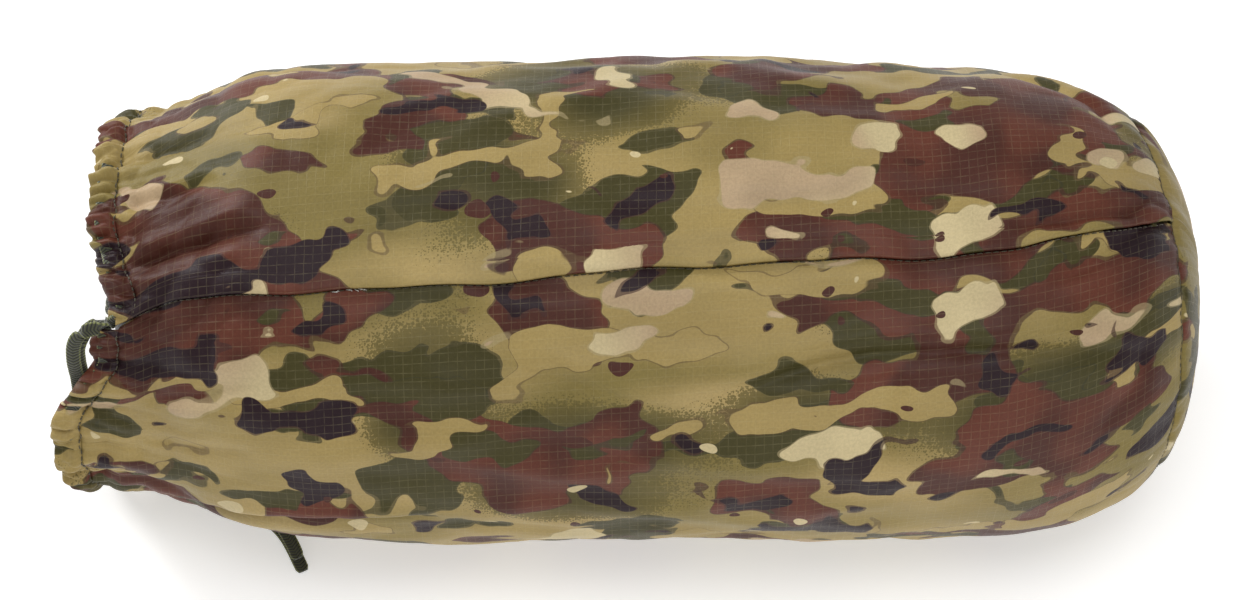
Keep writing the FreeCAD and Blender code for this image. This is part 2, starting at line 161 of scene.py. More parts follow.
# ------------------------------------------------------------------ folds and gathers
def waves(count, cycles, along, seed):
    """A fixed sum of cosines. cycles: range of whole cycles round phi;
    along: range of radians per mm of X."""
    random = np.random.default_rng(seed)
    turns = random.integers(cycles[0], cycles[1] + 1, count)
    rate = random.uniform(*along, count) * random.choice([-1, 1], count)
    phase = random.uniform(0, 2 * np.pi, count)
    weight = random.uniform(0.5, 1.0, count)

    def field(x, phi):
        angle = np.radians(phi)
        total = 0.0
        for j in range(count):
            total = total + weight[j] * np.cos(turns[j] * angle + rate[j] * x + phase[j])
        return total / math.sqrt(count)
    return field


lumps_broad = waves(14, cycles=(1, 5), along=(0.012, 0.045), seed=3)
lumps_small = waves(18, cycles=(4, 12), along=(0.03, 0.10), seed=4)
grain = waves(22, cycles=(14, 44), along=(0.05, 0.35), seed=5)
# slow variation of the strength of folds
vary_a = waves(6, cycles=(1, 6), along=(0.0, 0.001), seed=6)
vary_b = waves(6, cycles=(2, 9), along=(0.0, 0.001), seed=7)
vary_c = waves(6, cycles=(1, 5), along=(0.0, 0.001), seed=8)
# uneven spacing of folds
warp_a = waves(8, cycles=(2, 11), along=(0.0, 0.004), seed=9)
warp_b = waves(8, cycles=(1, 7), along=(0.0, 0.006), seed=10)
# sharp facets
facet_mid = waves(12, cycles=(7, 20), along=(0.05, 0.22), seed=21)
facet_small = waves(14, cycles=(14, 38), along=(0.10, 0.42), seed=22)
facet_broad = waves(9, cycles=(3, 9), along=(0.02, 0.09), seed=23)

FOLD_MEAN = 0.62        # about the mean of a fold, taken off to keep the size of the sack


def fold(value, power):
    """Sharp valleys where value crosses zero."""
    return np.abs(value) ** power - FOLD_MEAN


def ridge(phase, power=0.85):
    return fold(np.sin(phase / 2.0), power)


def fade(distance, length):
    return np.exp(-distance / length)


def bell(distance, width):
    return np.exp(-(distance / width) ** 2)


def crinkle(x, phi, behind):
    """Flat facets between sharp folds, strongest behind the mouth."""
    past = np.maximum(behind - 8.0, 0.0)
    mid = 2.3 * fade(past, 38.0) + 0.22
    small = 1.5 * fade(past, 20.0) + 0.08
    broad = 0.45 * fade(past, 90.0) + 0.22
    return (mid * fold(facet_mid(x, phi), 0.85) + small * fold(facet_small(x, phi), 0.85)
            - broad * fold(facet_broad(x, phi), 0.8))


def pleats(x, phi, behind):
    """Gathers of the mouth in four sizes; behind is mm behind the mouth edge."""
    turn = np.radians(phi)
    sway = np.maximum(behind, 0.0) / 60.0
    # phases: folds round the mouth, then uneven spacing and lean
    tiny = 88 * turn + 3.0 * warp_b(x, phi + 70.0) + 0.9
    small = 47 * turn + 2.6 * warp_a(x, phi) + 1.4 * sway * vary_b(x, phi)
    mid = 23 * turn + 1.7 * warp_b(x, phi) + 0.7 + 1.6 * sway * vary_c(x, phi + 31.0)
    broad = 12 * turn + 1.2 * warp_a(x, phi + 40.0) + 2.1 + 1.1 * sway * vary_a(x, phi + 77.0)
    # how far each size reaches along the sack
    past = np.maximum(behind - 6.0, 0.0)
    small_reach = np.clip(15.0 + 7.0 * vary_c(x, phi + 120.0), 9, 30)
    mid_reach = np.clip(42.0 + 20.0 * vary_a(x, phi), 16, 80)
    broad_reach = np.clip(74.0 + 30.0 * vary_b(x, phi), 30, 130)
    # heights
    tiny_height = 1.35 * (1 + 0.6 * vary_a(x, phi + 15.0))
    small_height = 2.5 * np.clip(1 + 0.5 * vary_b(x, phi), 0.2, 2)
    mid_height = 4.2 * np.clip(1 + 0.6 * vary_c(x, phi), 0.2, 2)
    broad_height = 3.8 * np.clip(1 + 0.5 * vary_a(x, phi), 0.1, 2)
    return (tiny_height * ridge(tiny, 1.0) * fade(past, 8.0)
            + small_height * ridge(small, 0.75) * fade(past, small_reach)
            + mid_height * ridge(mid, 0.7) * fade(past, mid_reach)
            + broad_height * ridge(broad, 0.8) * fade(past, broad_reach))


def base_pucker(x, phi):
    """Small gathers where the panel is eased on to the round base, most on top."""
    before = np.maximum(base_seam_x(phi) - x, 0.0)
    turn = np.radians(phi)
    small = 38 * turn + 1.6 * warp_b(x, phi + 20.0)
    broad = 17 * turn + 1.2 * warp_a(x, phi + 90.0)
    gathers = 1.15 * ridge(small) * fade(before, 11.0) + 1.5 * ridge(broad) * fade(before, 30.0)
    return gathers * (1.0 + 1.9 * bell(wrap(phi - 90.0), 9.0))


# ------------------------------------------------------------------ places set along the view
# Creases and print tendencies are placed by (X, height), where height is measured up a
# plane square to the camera's line of sight: sin(view) * Y + cos(view) * Z.
VIEW_ANGLE = math.radians(62.0)     # how steeply the camera looks down
VIEW_SIN, VIEW_COS = math.sin(VIEW_ANGLE), math.cos(VIEW_ANGLE)


def seen_phi(x, height):
    """phi of the point of the sack seen at (x, height)."""
    half_width, half_height, y, z = [float(value) for value in section(x)]
    offset = height - VIEW_SIN * y - VIEW_COS * z
    reach = math.hypot(VIEW_SIN * half_width, VIEW_COS * half_height)
    top = math.degrees(math.atan2(VIEW_COS * half_height, -VIEW_SIN * half_width))
    offset = max(-0.999 * reach, min(0.999 * reach, offset))
    return top - math.degrees(math.acos(offset / reach))


CREASE_DEPTH = 1.85     # deepens every crease
# points (X, height); then depth inwards, width, and strength of the raised lips
CREASES = [
    ([(14.576, -0.313), (44.476, 7.573), (72.506, 16.642), (90.072, 20.191), (126.699, 21.374),
      (164.074, 22.162), (197.711, 21.374)], 1.5, 3.2, 1.0),
    ([(-47.092, 17.431), (-24.667, 10.728), (-1.869, 2.447), (17.566, -1.890)], 0.9, 3.5, 0.6),
    ([(-187.246, -36.589), (-161.084, -40.926), (-134.922, -42.897), (-108.760, -43.686),
      (-71.385, -43.292)], 2.0, 3.2, 1.0),
    ([(-189.862, 52.523), (-176.033, 57.255), (-157.346, 63.169), (-136.790, 68.295)],
     1.9, 3.2, 1.4),
    ([(-192.852, 76.576), (-176.033, 80.124), (-155.478, 86.433)], 1.2, 3.0, 0.8),
    ([(145.386, 131.383), (164.074, 125.075), (180.892, 116.400), (188.367, 104.177)],
     1.3, 4.0, 0.9),
    ([(203.317, 80.519), (186.498, 73.027), (164.074, 69.873), (141.649, 68.295)],
     1.4, 3.0, 0.8),
    ([(204.438, 72.633), (190.236, 65.930), (173.417, 54.101), (156.599, 47.003)],
     1.1, 3.4, 0.8),
    ([(100.537, 19.402), (93.062, -8.199), (95.305, -31.857)], 0.9, 5.0, 0.3),
    ([(7.101, 39.117), (-7.849, 27.288), (-22.798, 21.374)], 0.6, 4.0, 0.4),
    ([(37.001, 76.576), (66.900, 80.124), (104.275, 82.490), (137.912, 79.730)], 0.7, 5.0, 0.3),
    ([(-183.508, 1.659), (-161.084, 4.419), (-138.659, 10.728)], 1.1, 3.6, 0.8),
    ([(-187.246, -16.085), (-164.821, -18.845), (-142.396, -16.479)], 1.0, 3.4, 0.6),
    ([(-119.972, -12.142), (-90.072, -8.199), (-56.435, -10.170)], 0.6, 6.0, 0.2),
    ([(29.526, -27.914), (63.163, -31.068), (96.800, -27.914)], 0.6, 6.0, 0.3),
    ([(-108.760, 98.262), (-75.123, 104.177), (-37.748, 102.205)], 0.5, 6.0, 0.2),
    ([(179.023, -8.199), (190.236, 7.573), (193.973, 27.288)], 0.8, 4.0, 0.4),
]


def crease_line(points, samples=60):
    """X and phi along a crease, its corners a little softened."""
    t = np.linspace(0, len(points) - 1, samples)
    i = np.clip(t.astype(int), 0, len(points) - 2)
    part = t - i
    part = part * part * (3 - 2 * part) * 0.35 + part * 0.65
    corner_x = np.array([x for x, _ in points])
    corner_phi = np.array([seen_phi(x, height) for x, height in points])
    return (corner_x[i] * (1 - part) + corner_x[i + 1] * part,
            corner_phi[i] * (1 - part) + corner_phi[i + 1] * part)


def crease_relief(x, phi):
    out = np.zeros_like(x)
    margin = 25
    for points, depth, width, lip in CREASES:
        line_x, line_phi = crease_line(points)
        near = (x > line_x.min() - margin) & (x < line_x.max() + margin)
        if not near.any():
            continue
        here_x = x[near]
        here_arc = (wrap(phi[near] - line_phi.mean()) + line_phi.mean()) * MM_PER_DEG
        line_arc = line_phi * MM_PER_DEG
        best = np.full(here_x.shape, 1e9)
        side = np.zeros(here_x.shape)
        along = np.zeros(here_x.shape)
        for k in range(len(line_x) - 1):
            run_x, run_arc = line_x[k + 1] - line_x[k], line_arc[k + 1] - line_arc[k]
            from_x, from_arc = here_x - line_x[k], here_arc - line_arc[k]
            length2 = run_x * run_x + run_arc * run_arc + 1e-9
            part = np.clip((from_x * run_x + from_arc * run_arc) / length2, 0, 1)
            off_x, off_arc = from_x - part * run_x, from_arc - part * run_arc
            distance = np.hypot(off_x, off_arc)
            closer = distance < best
            best = np.where(closer, distance, best)
            side = np.where(closer, np.sign(run_x * off_arc - run_arc * off_x), side)
            along = np.where(closer, (k + part) / (len(line_x) - 1), along)
        ends = np.clip(np.minimum(along, 1 - along) * 5.0, 0, 1) ** 0.7
        depth = depth * CREASE_DEPTH
        value = -depth * np.exp(-(best / width) ** 1.4) * ends
        # a strong lip on one side, a weak one on the other
        value += lip * depth * 0.8 * bell(best - 2.2 * width, 1.6 * width) * ends * (side > 0)
        value += lip * depth * 0.35 * bell(best - 2.6 * width, 2.0 * width) * ends * (side < 0)
        out[near] += value
    return out


def side_seam_relief(x, phi):
    """The panel's upper edge laps over the lower: a rolled lip with a step below it."""
    across = wrap(phi - seam_phi(x) - seam_wave(x)) * MM_PER_DEG
    away = np.abs(across)
    lip = 1.25 * fade(across, 7.5) * (1 - fade(np.maximum(across, 0), 0.35))
    step = -1.35 * np.exp(-(away / 3.6) ** 1.2) + 0.55 * bell(away - 9.0, 5.0)
    tug = (0.32 * np.sin(x / 4.7 + 1.3 * np.sin(x / 23.0)) * fade(away, 8.0)
           * (0.5 + 0.5 * np.sin(x / 37.0) ** 2))
    return np.where(across > 0, lip, step) + tug


def cloth_relief(x, phi):
    """Wrinkles of the cloth run, interpolated from their grid."""
    if RELIEF is None:
        return 0.0
    x, phi = np.broadcast_arrays(np.asarray(x, float), np.asarray(phi, float))
    rows, columns = RELIEF.shape
    start = edge_x(phi) + HEM_DEPTH
    along = np.clip((x - start) / (base_seam_x(phi) - start), 0, 1) * (rows - 1)
    around = (phi % 360.0) / 360.0 * columns
    i = np.clip(along.astype(int), 0, rows - 2)
    j = around.astype(int) % columns
    j_next = (j + 1) % columns
    part_i, part_j = along - i, around - np.floor(around)
    return ((RELIEF[i, j] * (1 - part_j) + RELIEF[i, j_next] * part_j) * (1 - part_i)
            + (RELIEF[i + 1, j] * (1 - part_j) + RELIEF[i + 1, j_next] * part_j) * part_i)


def sack_surface(x, phi, extra=0.0, pleating=1.0):
    """Points of the sack's outside in metres, from arrays of x and phi."""
    x = np.asarray(x, float)
    phi = np.asarray(phi, float)
    points, normals = bare_sack(x, phi)
    behind = x - edge_x(phi)
    before = base_seam_x(phi) - x
    soft = np.clip((behind - 10.0) / 60.0, 0, 1) * (0.35 + 0.65 * np.clip(before / 30.0, 0, 1))
    facets = np.clip(behind / 12.0, 0.25, 1) * np.clip(before / 12.0, 0.1, 1)
    out = (-0.9 + soft * (1.35 * lumps_broad(x, phi) + 0.55 * lumps_small(x, phi))
           + 0.07 * grain(x, phi) * (0.3 + 0.7 * fade(np.maximum(behind, 0), 60.0))
           + pleating * pleats(x, phi, behind) + base_pucker(x, phi)
           + crinkle(x, phi, behind) * facets + crease_relief(x, phi)
           + side_seam_relief(x, phi) + cloth_relief(x, phi) + extra
           - 0.8 * bell(behind - HEM_STITCH, 1.3) - 1.0 * bell(before, 1.4))
    points = points + normals * out[..., None]
    points[..., 2] = rest_on_ground(points[..., 2])
    return points * MM


# ------------------------------------------------------------------ mesh helpers
def grid_faces(rows, columns, wrap_columns=False, wrap_rows=False):
    i = np.arange(rows if wrap_rows else rows - 1)[:, None]
    j = np.arange(columns if wrap_columns else columns - 1)[None, :]
    i_next, j_next = (i + 1) % rows, (j + 1) % columns
    corners = [i * columns + j, i_next * columns + j,
               i_next * columns + j_next, i * columns + j_next]
    return np.stack(corners, -1).reshape(-1, 4)


def capped_faces(rows, sides, flip=False):
    """A tube of rings, closed by two end points that follow the rings."""
    quads = grid_faces(rows, sides, wrap_columns=True)
    if flip:
        quads = quads[:, [0, 3, 2, 1]]
    last = (rows - 1) * sides
    start_point = rows * sides
    caps = []
    for j in range(sides):
        j_next = (j + 1) % sides
        caps.append([j_next, j, start_point])
        caps.append([last + j, last + j_next, start_point + 1])
    return quads.tolist() + caps


def grid_uv(along, across):
    return np.stack(np.broadcast_arrays(along, across), -1).reshape(-1, 2)


def mesh_object(name, verts, faces, uvs=None, layer="print", attrs=None, material=None):
    """A smooth mesh; verts in metres, uvs one per vertex (n, 2) or per corner (m, 4, 2)."""
    mesh = bpy.data.meshes.new(name)
    mesh.from_pydata(np.asarray(verts).reshape(-1, 3).tolist(), [],
                     [list(map(int, face)) for face in faces])
    if uvs is not None:
        if uvs.ndim == 2:
            index = np.empty(len(mesh.loops), np.int32)
            mesh.loops.foreach_get("vertex_index", index)
            uvs = uvs[index]
        uv_layer = mesh.uv_layers.new(name=layer)
        uv_layer.data.foreach_set("uv", np.asarray(uvs, np.float32).reshape(-1))
    for key, values in (attrs or {}).items():
        attribute = mesh.attributes.new(key, "FLOAT", "POINT")
        attribute.data.foreach_set("value", np.asarray(values, np.float32).reshape(-1))
    mesh.polygons.foreach_set("use_smooth", [True] * len(mesh.polygons))
    mesh.update()
    mesh.validate()
    piece = bpy.data.objects.new(name, mesh)
    bpy.context.scene.collection.objects.link(piece)
    if material:
        mesh.materials.append(material)
    return piece


def fill_holes(bm):
    bmesh.ops.holes_fill(bm, edges=[edge for edge in bm.edges if edge.is_boundary], sides=0)


def face_outwards(piece, close=None):
    """Optionally closes the mesh with close(bm), then points its faces outwards."""
    bm = bmesh.new()
    bm.from_mesh(piece.data)
    if close:
        close(bm)
    bmesh.ops.recalc_face_normals(bm, faces=bm.faces)
    bm.to_mesh(piece.data)
    bm.free()


def closed_sweep(name, points, along, across, layer, material):
    """Rows of closed rings (metres) with their two ends filled."""
    rows, columns = points.shape[:2]
    piece = mesh_object(name, points, grid_faces(rows, columns, wrap_columns=True),
                        grid_uv(along, across), layer, material=material)
    face_outwards(piece, fill_holes)
    return piece


CLOTH_THICKNESS = 0.0005    # metres


def thicken(piece):
    """Gives a sheet the cloth's thickness, inwards."""
    solidify = piece.modifiers.new("thick", "SOLIDIFY")
    solidify.thickness = CLOTH_THICKNESS
    solidify.offset = -1.0
    solidify.use_even_offset = False
    graph = bpy.context.evaluated_depsgraph_get()
    mesh = bpy.data.meshes.new_from_object(piece.evaluated_get(graph),
                                           preserve_all_data_layers=True, depsgraph=graph)
    old = piece.data
    piece.modifiers.clear()
    piece.data = mesh
    bpy.data.meshes.remove(old)
    return piece


def place(piece, ride=None, stands_for=()):
    if stands_for:
        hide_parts(*stands_for)
    if ride:
        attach(piece, ride)


def arc_lengths(points):
    return np.concatenate([[0], np.cumsum(np.linalg.norm(np.diff(points, axis=0), axis=1))])


def interpolate(at, known, columns):
    return np.stack([np.interp(at, known, columns[:, k]) for k in range(columns.shape[1])], -1)


def catmull(points, count, closed=False):
    """Uniform Catmull-Rom through points, count samples, evenly spaced by length."""
    p = np.asarray(points, float)
    if closed:
        around = np.vstack([p[-1], p, p[0], p[1]])
        spans = len(p)
    else:
        around = np.vstack([2 * p[0] - p[1], p, 2 * p[-1] - p[-2]])
        spans = len(p) - 1
    t = np.linspace(0, 1, 24, endpoint=False)[:, None]
    out = []
    for i in range(spans):
        a, b, c, d = around[i:i + 4]
        out.append(0.5 * (2 * b + (c - a) * t + (2 * a - 5 * b + 4 * c - d) * t**2
                          + (3 * b - a - 3 * c + d) * t**3))
    out.append(p[:1] if closed else p[-1:])
    curve = np.vstack(out)
    length = arc_lengths(curve)
    return interpolate(np.linspace(0, length[-1], count, endpoint=not closed), length, curve)


def resample(columns, step):
    """Even steps along a curve whose first three columns are its points."""
    length = arc_lengths(columns[:, :3])
    distance = np.linspace(0, length[-1], int(length[-1] / step))
    return distance, interpolate(distance, length, columns)


def signed_power(value, power):
    return np.sign(value) * np.abs(value) ** power


# ------------------------------------------------------------------ node helpers
class Tree:
    """A Principled material; every method returns the output socket of a new node."""

    def __init__(self, name):
        self.mat = bpy.data.materials.new(name)
        self.mat.use_nodes = True
        self.nodes = self.mat.node_tree.nodes
        self.links = self.mat.node_tree.links
        self.nodes.clear()
        output = self.nodes.new("ShaderNodeOutputMaterial")
        self.bsdf = self.nodes.new("ShaderNodeBsdfPrincipled")
        self.links.new(self.bsdf.outputs[0], output.inputs["Surface"])

    def node(self, kind, **settings):
        node = self.nodes.new(kind)
        for key, value in settings.items():
            setattr(node, key, value)
        return node

    def put(self, socket, value):
        if isinstance(value, bpy.types.NodeSocket):
            self.links.new(value, socket)
        else:
            socket.default_value = value

    def fill(self, node, values):
        for key, value in values.items():
            self.put(node.inputs[key], value)

    def surface(self, values):
        """Sets inputs of the Principled shader and returns the material."""
        self.fill(self.bsdf, values)
        return self.mat

    def math(self, operation, *values):
        node = self.node("ShaderNodeMath", operation=operation)
        self.fill(node, dict(enumerate(values)))
        return node.outputs[0]

    def plus(self, base, value, gain):
        """base + value * gain"""
        return self.math("ADD", base, self.math("MULTIPLY", value, gain))

    def vmath(self, operation, a, b):
        node = self.node("ShaderNodeVectorMath", operation=operation)
        self.fill(node, {0: a, 1: b})
        return node.outputs[0]

    def mix(self, factor, a, b, blend="MIX"):
        node = self.node("ShaderNodeMix", data_type="RGBA", blend_type=blend, clamp_factor=True)
        self.fill(node, {0: factor, 6: a, 7: b})
        return node.outputs[2]

    def mult(self, factor, a, b):
        return self.mix(factor, a, b, "MULTIPLY")

    def step(self, value, low, high):
        """Smooth rise from 0 at low to 1 at high."""
        node = self.node("ShaderNodeMapRange", interpolation_type="SMOOTHSTEP")
        self.fill(node, {"Value": value, "From Min": low, "From Max": high})
        return node.outputs[0]

    def noise(self, vec, scale, detail=2.0, rough=0.5, distort=0.0, out="Fac"):
        node = self.node("ShaderNodeTexNoise")
        self.fill(node, {"Vector": vec, "Scale": scale, "Detail": detail,
                         "Roughness": rough, "Distortion": distort})
        return node.outputs[out]

    def voronoi(self, vec, scale, randomness):
        node = self.node("ShaderNodeTexVoronoi", feature="F1")
        self.fill(node, {"Vector": vec, "Scale": scale, "Randomness": randomness})
        return node.outputs["Distance"]

    def uv(self, name):
        return self.node("ShaderNodeUVMap", uv_map=name).outputs[0]

    def attr(self, name):
        return self.node("ShaderNodeAttribute", attribute_name=name).outputs["Fac"]

    def object_coords(self):
        return self.node("ShaderNodeTexCoord").outputs["Object"]

    def separate(self, vec):
        node = self.node("ShaderNodeSeparateXYZ")
        self.put(node.inputs[0], vec)
        return node.outputs

    def combine(self, x, y):
        node = self.node("ShaderNodeCombineXYZ")
        self.fill(node, {0: x, 1: y, 2: 0.0})
        return node.outputs[0]

    def bump(self, height, strength, dist):
        node = self.node("ShaderNodeBump")
        self.fill(node, {"Strength": strength, "Distance": dist, "Height": height})
        return node.outputs[0]


def srgb(*rgb):
    """Linear colour from 0-255 sRGB."""
    def linear(value):
        value /= 255.0
        return value / 12.92 if value <= 0.04045 else ((value + 0.055) / 1.055) ** 2.4
    return tuple(linear(value) for value in rgb) + (1.0,)


def grey(value):
    return (value, value, value, 1)


# ------------------------------------------------------------------ camouflage ripstop
TAN = srgb(163, 141, 87)
OLIVE_TAN = srgb(127, 112, 61)
SAND = srgb(173, 150, 98)
GREEN = srgb(66, 61, 28)
BROWN = srgb(98, 52, 38)
DEEP_BROWN = srgb(73, 38, 29)
DARK = srgb(37, 20, 26)
PALE = srgb(200, 183, 140)
PINKISH_PALE = srgb(180, 155, 122)
UNIT_SCALE = (1.0, 1.0, 1.0)


def stretched(tree, uv, squeeze, offset, warp_scale, warp):
    """Print coordinates drawn out along the sack, pushed about so that edges get lobes."""
    push = tree.vmath("ADD", tree.vmath("MULTIPLY", uv, (0.75, 1.0, 1.0)), offset)
    push = tree.noise(push, scale=warp_scale, detail=1.0, out="Color")
    push = tree.vmath("SUBTRACT", push, (0.5, 0.5, 0.5))
    push = tree.vmath("MULTIPLY", push, (warp * 1.5, warp, 0.0))
    moved = tree.vmath("ADD", tree.vmath("ADD", uv, push), offset)
    return tree.vmath("MULTIPLY", moved, (squeeze, 1.0, 1.0))


def camo_colour(tree, uv):
    """Woodland print: soft ground, dotted green fades, then crisp shapes."""
    lean_green = tree.attr("lean_green")
    lean_brown = tree.attr("lean_brown")
    lean_pale = tree.attr("lean_pale")
    lean_dark = tree.attr("lean_dark")

    # ground: tans in long soft drifts
    drift = tree.noise(tree.vmath("MULTIPLY", uv, (0.55, 1.0, 1.0)), scale=13.0)
    colour = tree.mix(tree.step(drift, low=0.38, high=0.62), TAN, OLIVE_TAN)
    moved = tree.vmath("MULTIPLY", tree.vmath("ADD", uv, (3.1, 1.7, 0.0)), (0.5, 1.0, 1.0))
    drift = tree.noise(moved, scale=18.0, detail=1.0)
    colour = tree.mix(tree.step(drift, low=0.52, high=0.72), colour, SAND)

    # dotted fade into green
    moved = stretched(tree, uv, squeeze=0.6, offset=(5.3, 2.2, 0.0), warp_scale=22.0, warp=0.02)
    field = tree.noise(moved, scale=15.0, detail=1.0, rough=0.4)
    field = tree.plus(field, lean_green, gain=0.26)
    dots = tree.voronoi(uv, scale=1100.0, randomness=0.75)
    dot_size = tree.step(field, low=0.52, high=0.70)
    dotted = tree.math("LESS_THAN", tree.math("MULTIPLY", dots, 0.95), dot_size)
    solid = tree.step(field, low=0.60, high=0.76)
    greenish = tree.mix(0.55, OLIVE_TAN, GREEN)
    colour = tree.mix(tree.math("MULTIPLY", dotted, 0.8), colour, greenish)
    colour = tree.mix(solid, colour, GREEN)

    def shapes(below, fill, edge, offset, squeeze, scale, threshold, lean, gain,
               warp_scale=70.0, warp=0.021, detail=1.6, rough=0.34, outline=0.75):
        """Crisp shapes of fill where noise passes threshold, with a thin outline of edge."""
        field = tree.noise(stretched(tree, uv, squeeze, offset, warp_scale, warp),
                           scale, detail, rough, distort=0.25)
        field = tree.plus(field, lean, gain)
        rim_at, sharp = threshold - 0.010, 0.003
        rim = tree.step(field, rim_at, rim_at + sharp)
        body = tree.step(field, threshold, threshold + sharp)
        below = tree.mix(tree.math("MULTIPLY", rim, outline), below, edge)
        return tree.mix(body, below, fill)

    colour = shapes(colour, GREEN, srgb(56, 54, 32), offset=(9.4, 3.3, 0.0), squeeze=0.66,
                    scale=36.0, threshold=0.615, lean=lean_green, gain=0.18)
    patches = tree.step(tree.noise(uv, scale=26.0, detail=1.0), low=0.42, high=0.58)
    brown = tree.mix(patches, BROWN, DEEP_BROWN)
    colour = shapes(colour, brown, srgb(70, 42, 33), offset=(1.7, 8.1, 0.0), squeeze=0.60,
                    scale=31.0, threshold=0.560, lean=lean_brown, gain=0.20,
                    warp_scale=62.0, warp=0.026)
    # green and tan over the brown
    colour = shapes(colour, GREEN, srgb(58, 56, 34), offset=(31.4, 6.3, 0.0), squeeze=0.68,
                    scale=40.0, threshold=0.668, lean=lean_green, gain=0.15)
    colour = shapes(colour, TAN, srgb(96, 76, 50), offset=(14.1, 7.7, 0.0), squeeze=0.60,
                    scale=38.0, threshold=0.622, lean=lean_brown, gain=-0.07, outline=0.55)
    moved = tree.vmath("ADD", uv, (2.0, 6.0, 0.0))
    patches = tree.step(tree.noise(moved, scale=14.0, detail=1.0), low=0.42, high=0.58)
    pale = tree.mix(patches, PALE, PINKISH_PALE)
    colour = shapes(colour, pale, srgb(168, 152, 112), offset=(4.2, 12.5, 0.0), squeeze=0.64,
                    scale=36.0, threshold=0.672, lean=lean_pale, gain=0.27, outline=0.5)
    colour = shapes(colour, DARK, srgb(66, 40, 36), offset=(7.9, 0.6, 0.0), squeeze=0.72,
                    scale=39.0, threshold=0.653, lean=lean_dark, gain=0.19,
                    warp_scale=66.0, warp=0.026, detail=1.5, rough=0.4)

    def specks(below, fill, offset, scale, low, high):
        moved = stretched(tree, uv, squeeze=0.7, offset=offset, warp_scale=60.0, warp=0.010)
        field = tree.noise(moved, scale, detail=0.0)
        return tree.mix(tree.step(field, low, high), below, fill)

    colour = specks(colour, PALE, offset=(20.3, 4.4, 0.0), scale=84.0, low=0.800, high=0.806)
    return specks(colour, DEEP_BROWN, offset=(2.3, 24.4, 0.0), scale=90.0,
                  low=0.792, high=0.797)


def ripstop(tree, uv, pitch):
    """Masks of the ripstop grid and of the plain weave; lengths in metres."""
    x, y, _ = tree.separate(uv)
    wobble = tree.math("SUBTRACT", tree.noise(uv, scale=160.0, detail=1.0), 0.5)
    wobble = tree.math("MULTIPLY", wobble, 0.0004)
    from_x = tree.math("PINGPONG", tree.math("ADD", x, wobble), pitch / 2)
    from_y = tree.math("PINGPONG", tree.math("ADD", y, wobble), pitch / 2)
    thread = 0.00012
    thread_x = tree.math("SUBTRACT", 1.0, tree.step(from_x, thread, thread * 2.0))
    thread_y = tree.math("SUBTRACT", 1.0, tree.step(from_y, thread, thread * 2.0))
    grid = tree.math("MAXIMUM", tree.math("MULTIPLY", thread_x, 0.75), thread_y)
    broken = tree.noise(tree.vmath("MULTIPLY", uv, UNIT_SCALE), scale=210.0,
                        detail=3.0, rough=0.6)
    broken = tree.step(broken, low=0.36, high=0.66)
    grid = tree.math("MULTIPLY", grid, tree.plus(0.25, broken, gain=0.75))
    yarn = 0.00013
    weave_x = tree.math("PINGPONG", x, yarn)
    weave_y = tree.math("PINGPONG", y, yarn)
    weave = tree.math("MULTIPLY", tree.math("ADD", weave_x, weave_y), 1 / 0.00026)
    return grid, weave


def camo_ripstop():
    """The print with lighter grid threads, mottled dye and a satin woven surface."""
    tree = Tree("camo_ripstop")
    uv = tree.uv("print")
    colour = camo_colour(tree, uv)
    grid, weave = ripstop(tree, uv, pitch=0.00335)
    mottle = tree.noise(tree.vmath("MULTIPLY", uv, UNIT_SCALE), scale=900.0, rough=0.6)
    tint = tree.mix(tree.step(mottle, low=0.25, high=0.75), grey(0.91), grey(1.07))
    colour = tree.mult(1.0, colour, tint)
    lighter = tree.mix(0.22, colour, srgb(216, 202, 152))
    colour = tree.mix(tree.math("MULTIPLY", grid, 0.36), colour, lighter)
    cloudy = tree.noise(uv, scale=30.0)
    tint = tree.mix(tree.step(cloudy, low=0.3, high=0.7), grey(0.88), grey(1.06))
    colour = tree.mult(0.7, colour, tint)
    rough = tree.plus(0.47, tree.math("SUBTRACT", mottle, 0.5), gain=0.22)
    rough = tree.math("SUBTRACT", rough, tree.math("MULTIPLY", grid, 0.06))
    height = tree.plus(tree.math("MULTIPLY", grid, 0.75), weave, gain=0.25)
    height = tree.plus(height, tree.noise(uv, scale=420.0, rough=0.6), gain=0.9)
    return tree.surface({
        "Base Color": colour, "Roughness": rough, "Sheen Weight": 0.0,
        "Sheen Roughness": 0.45, "Specular IOR Level": 0.22,
        "Normal": tree.bump(height, strength=0.5, dist=0.0002)})


CAMO = camo_ripstop()

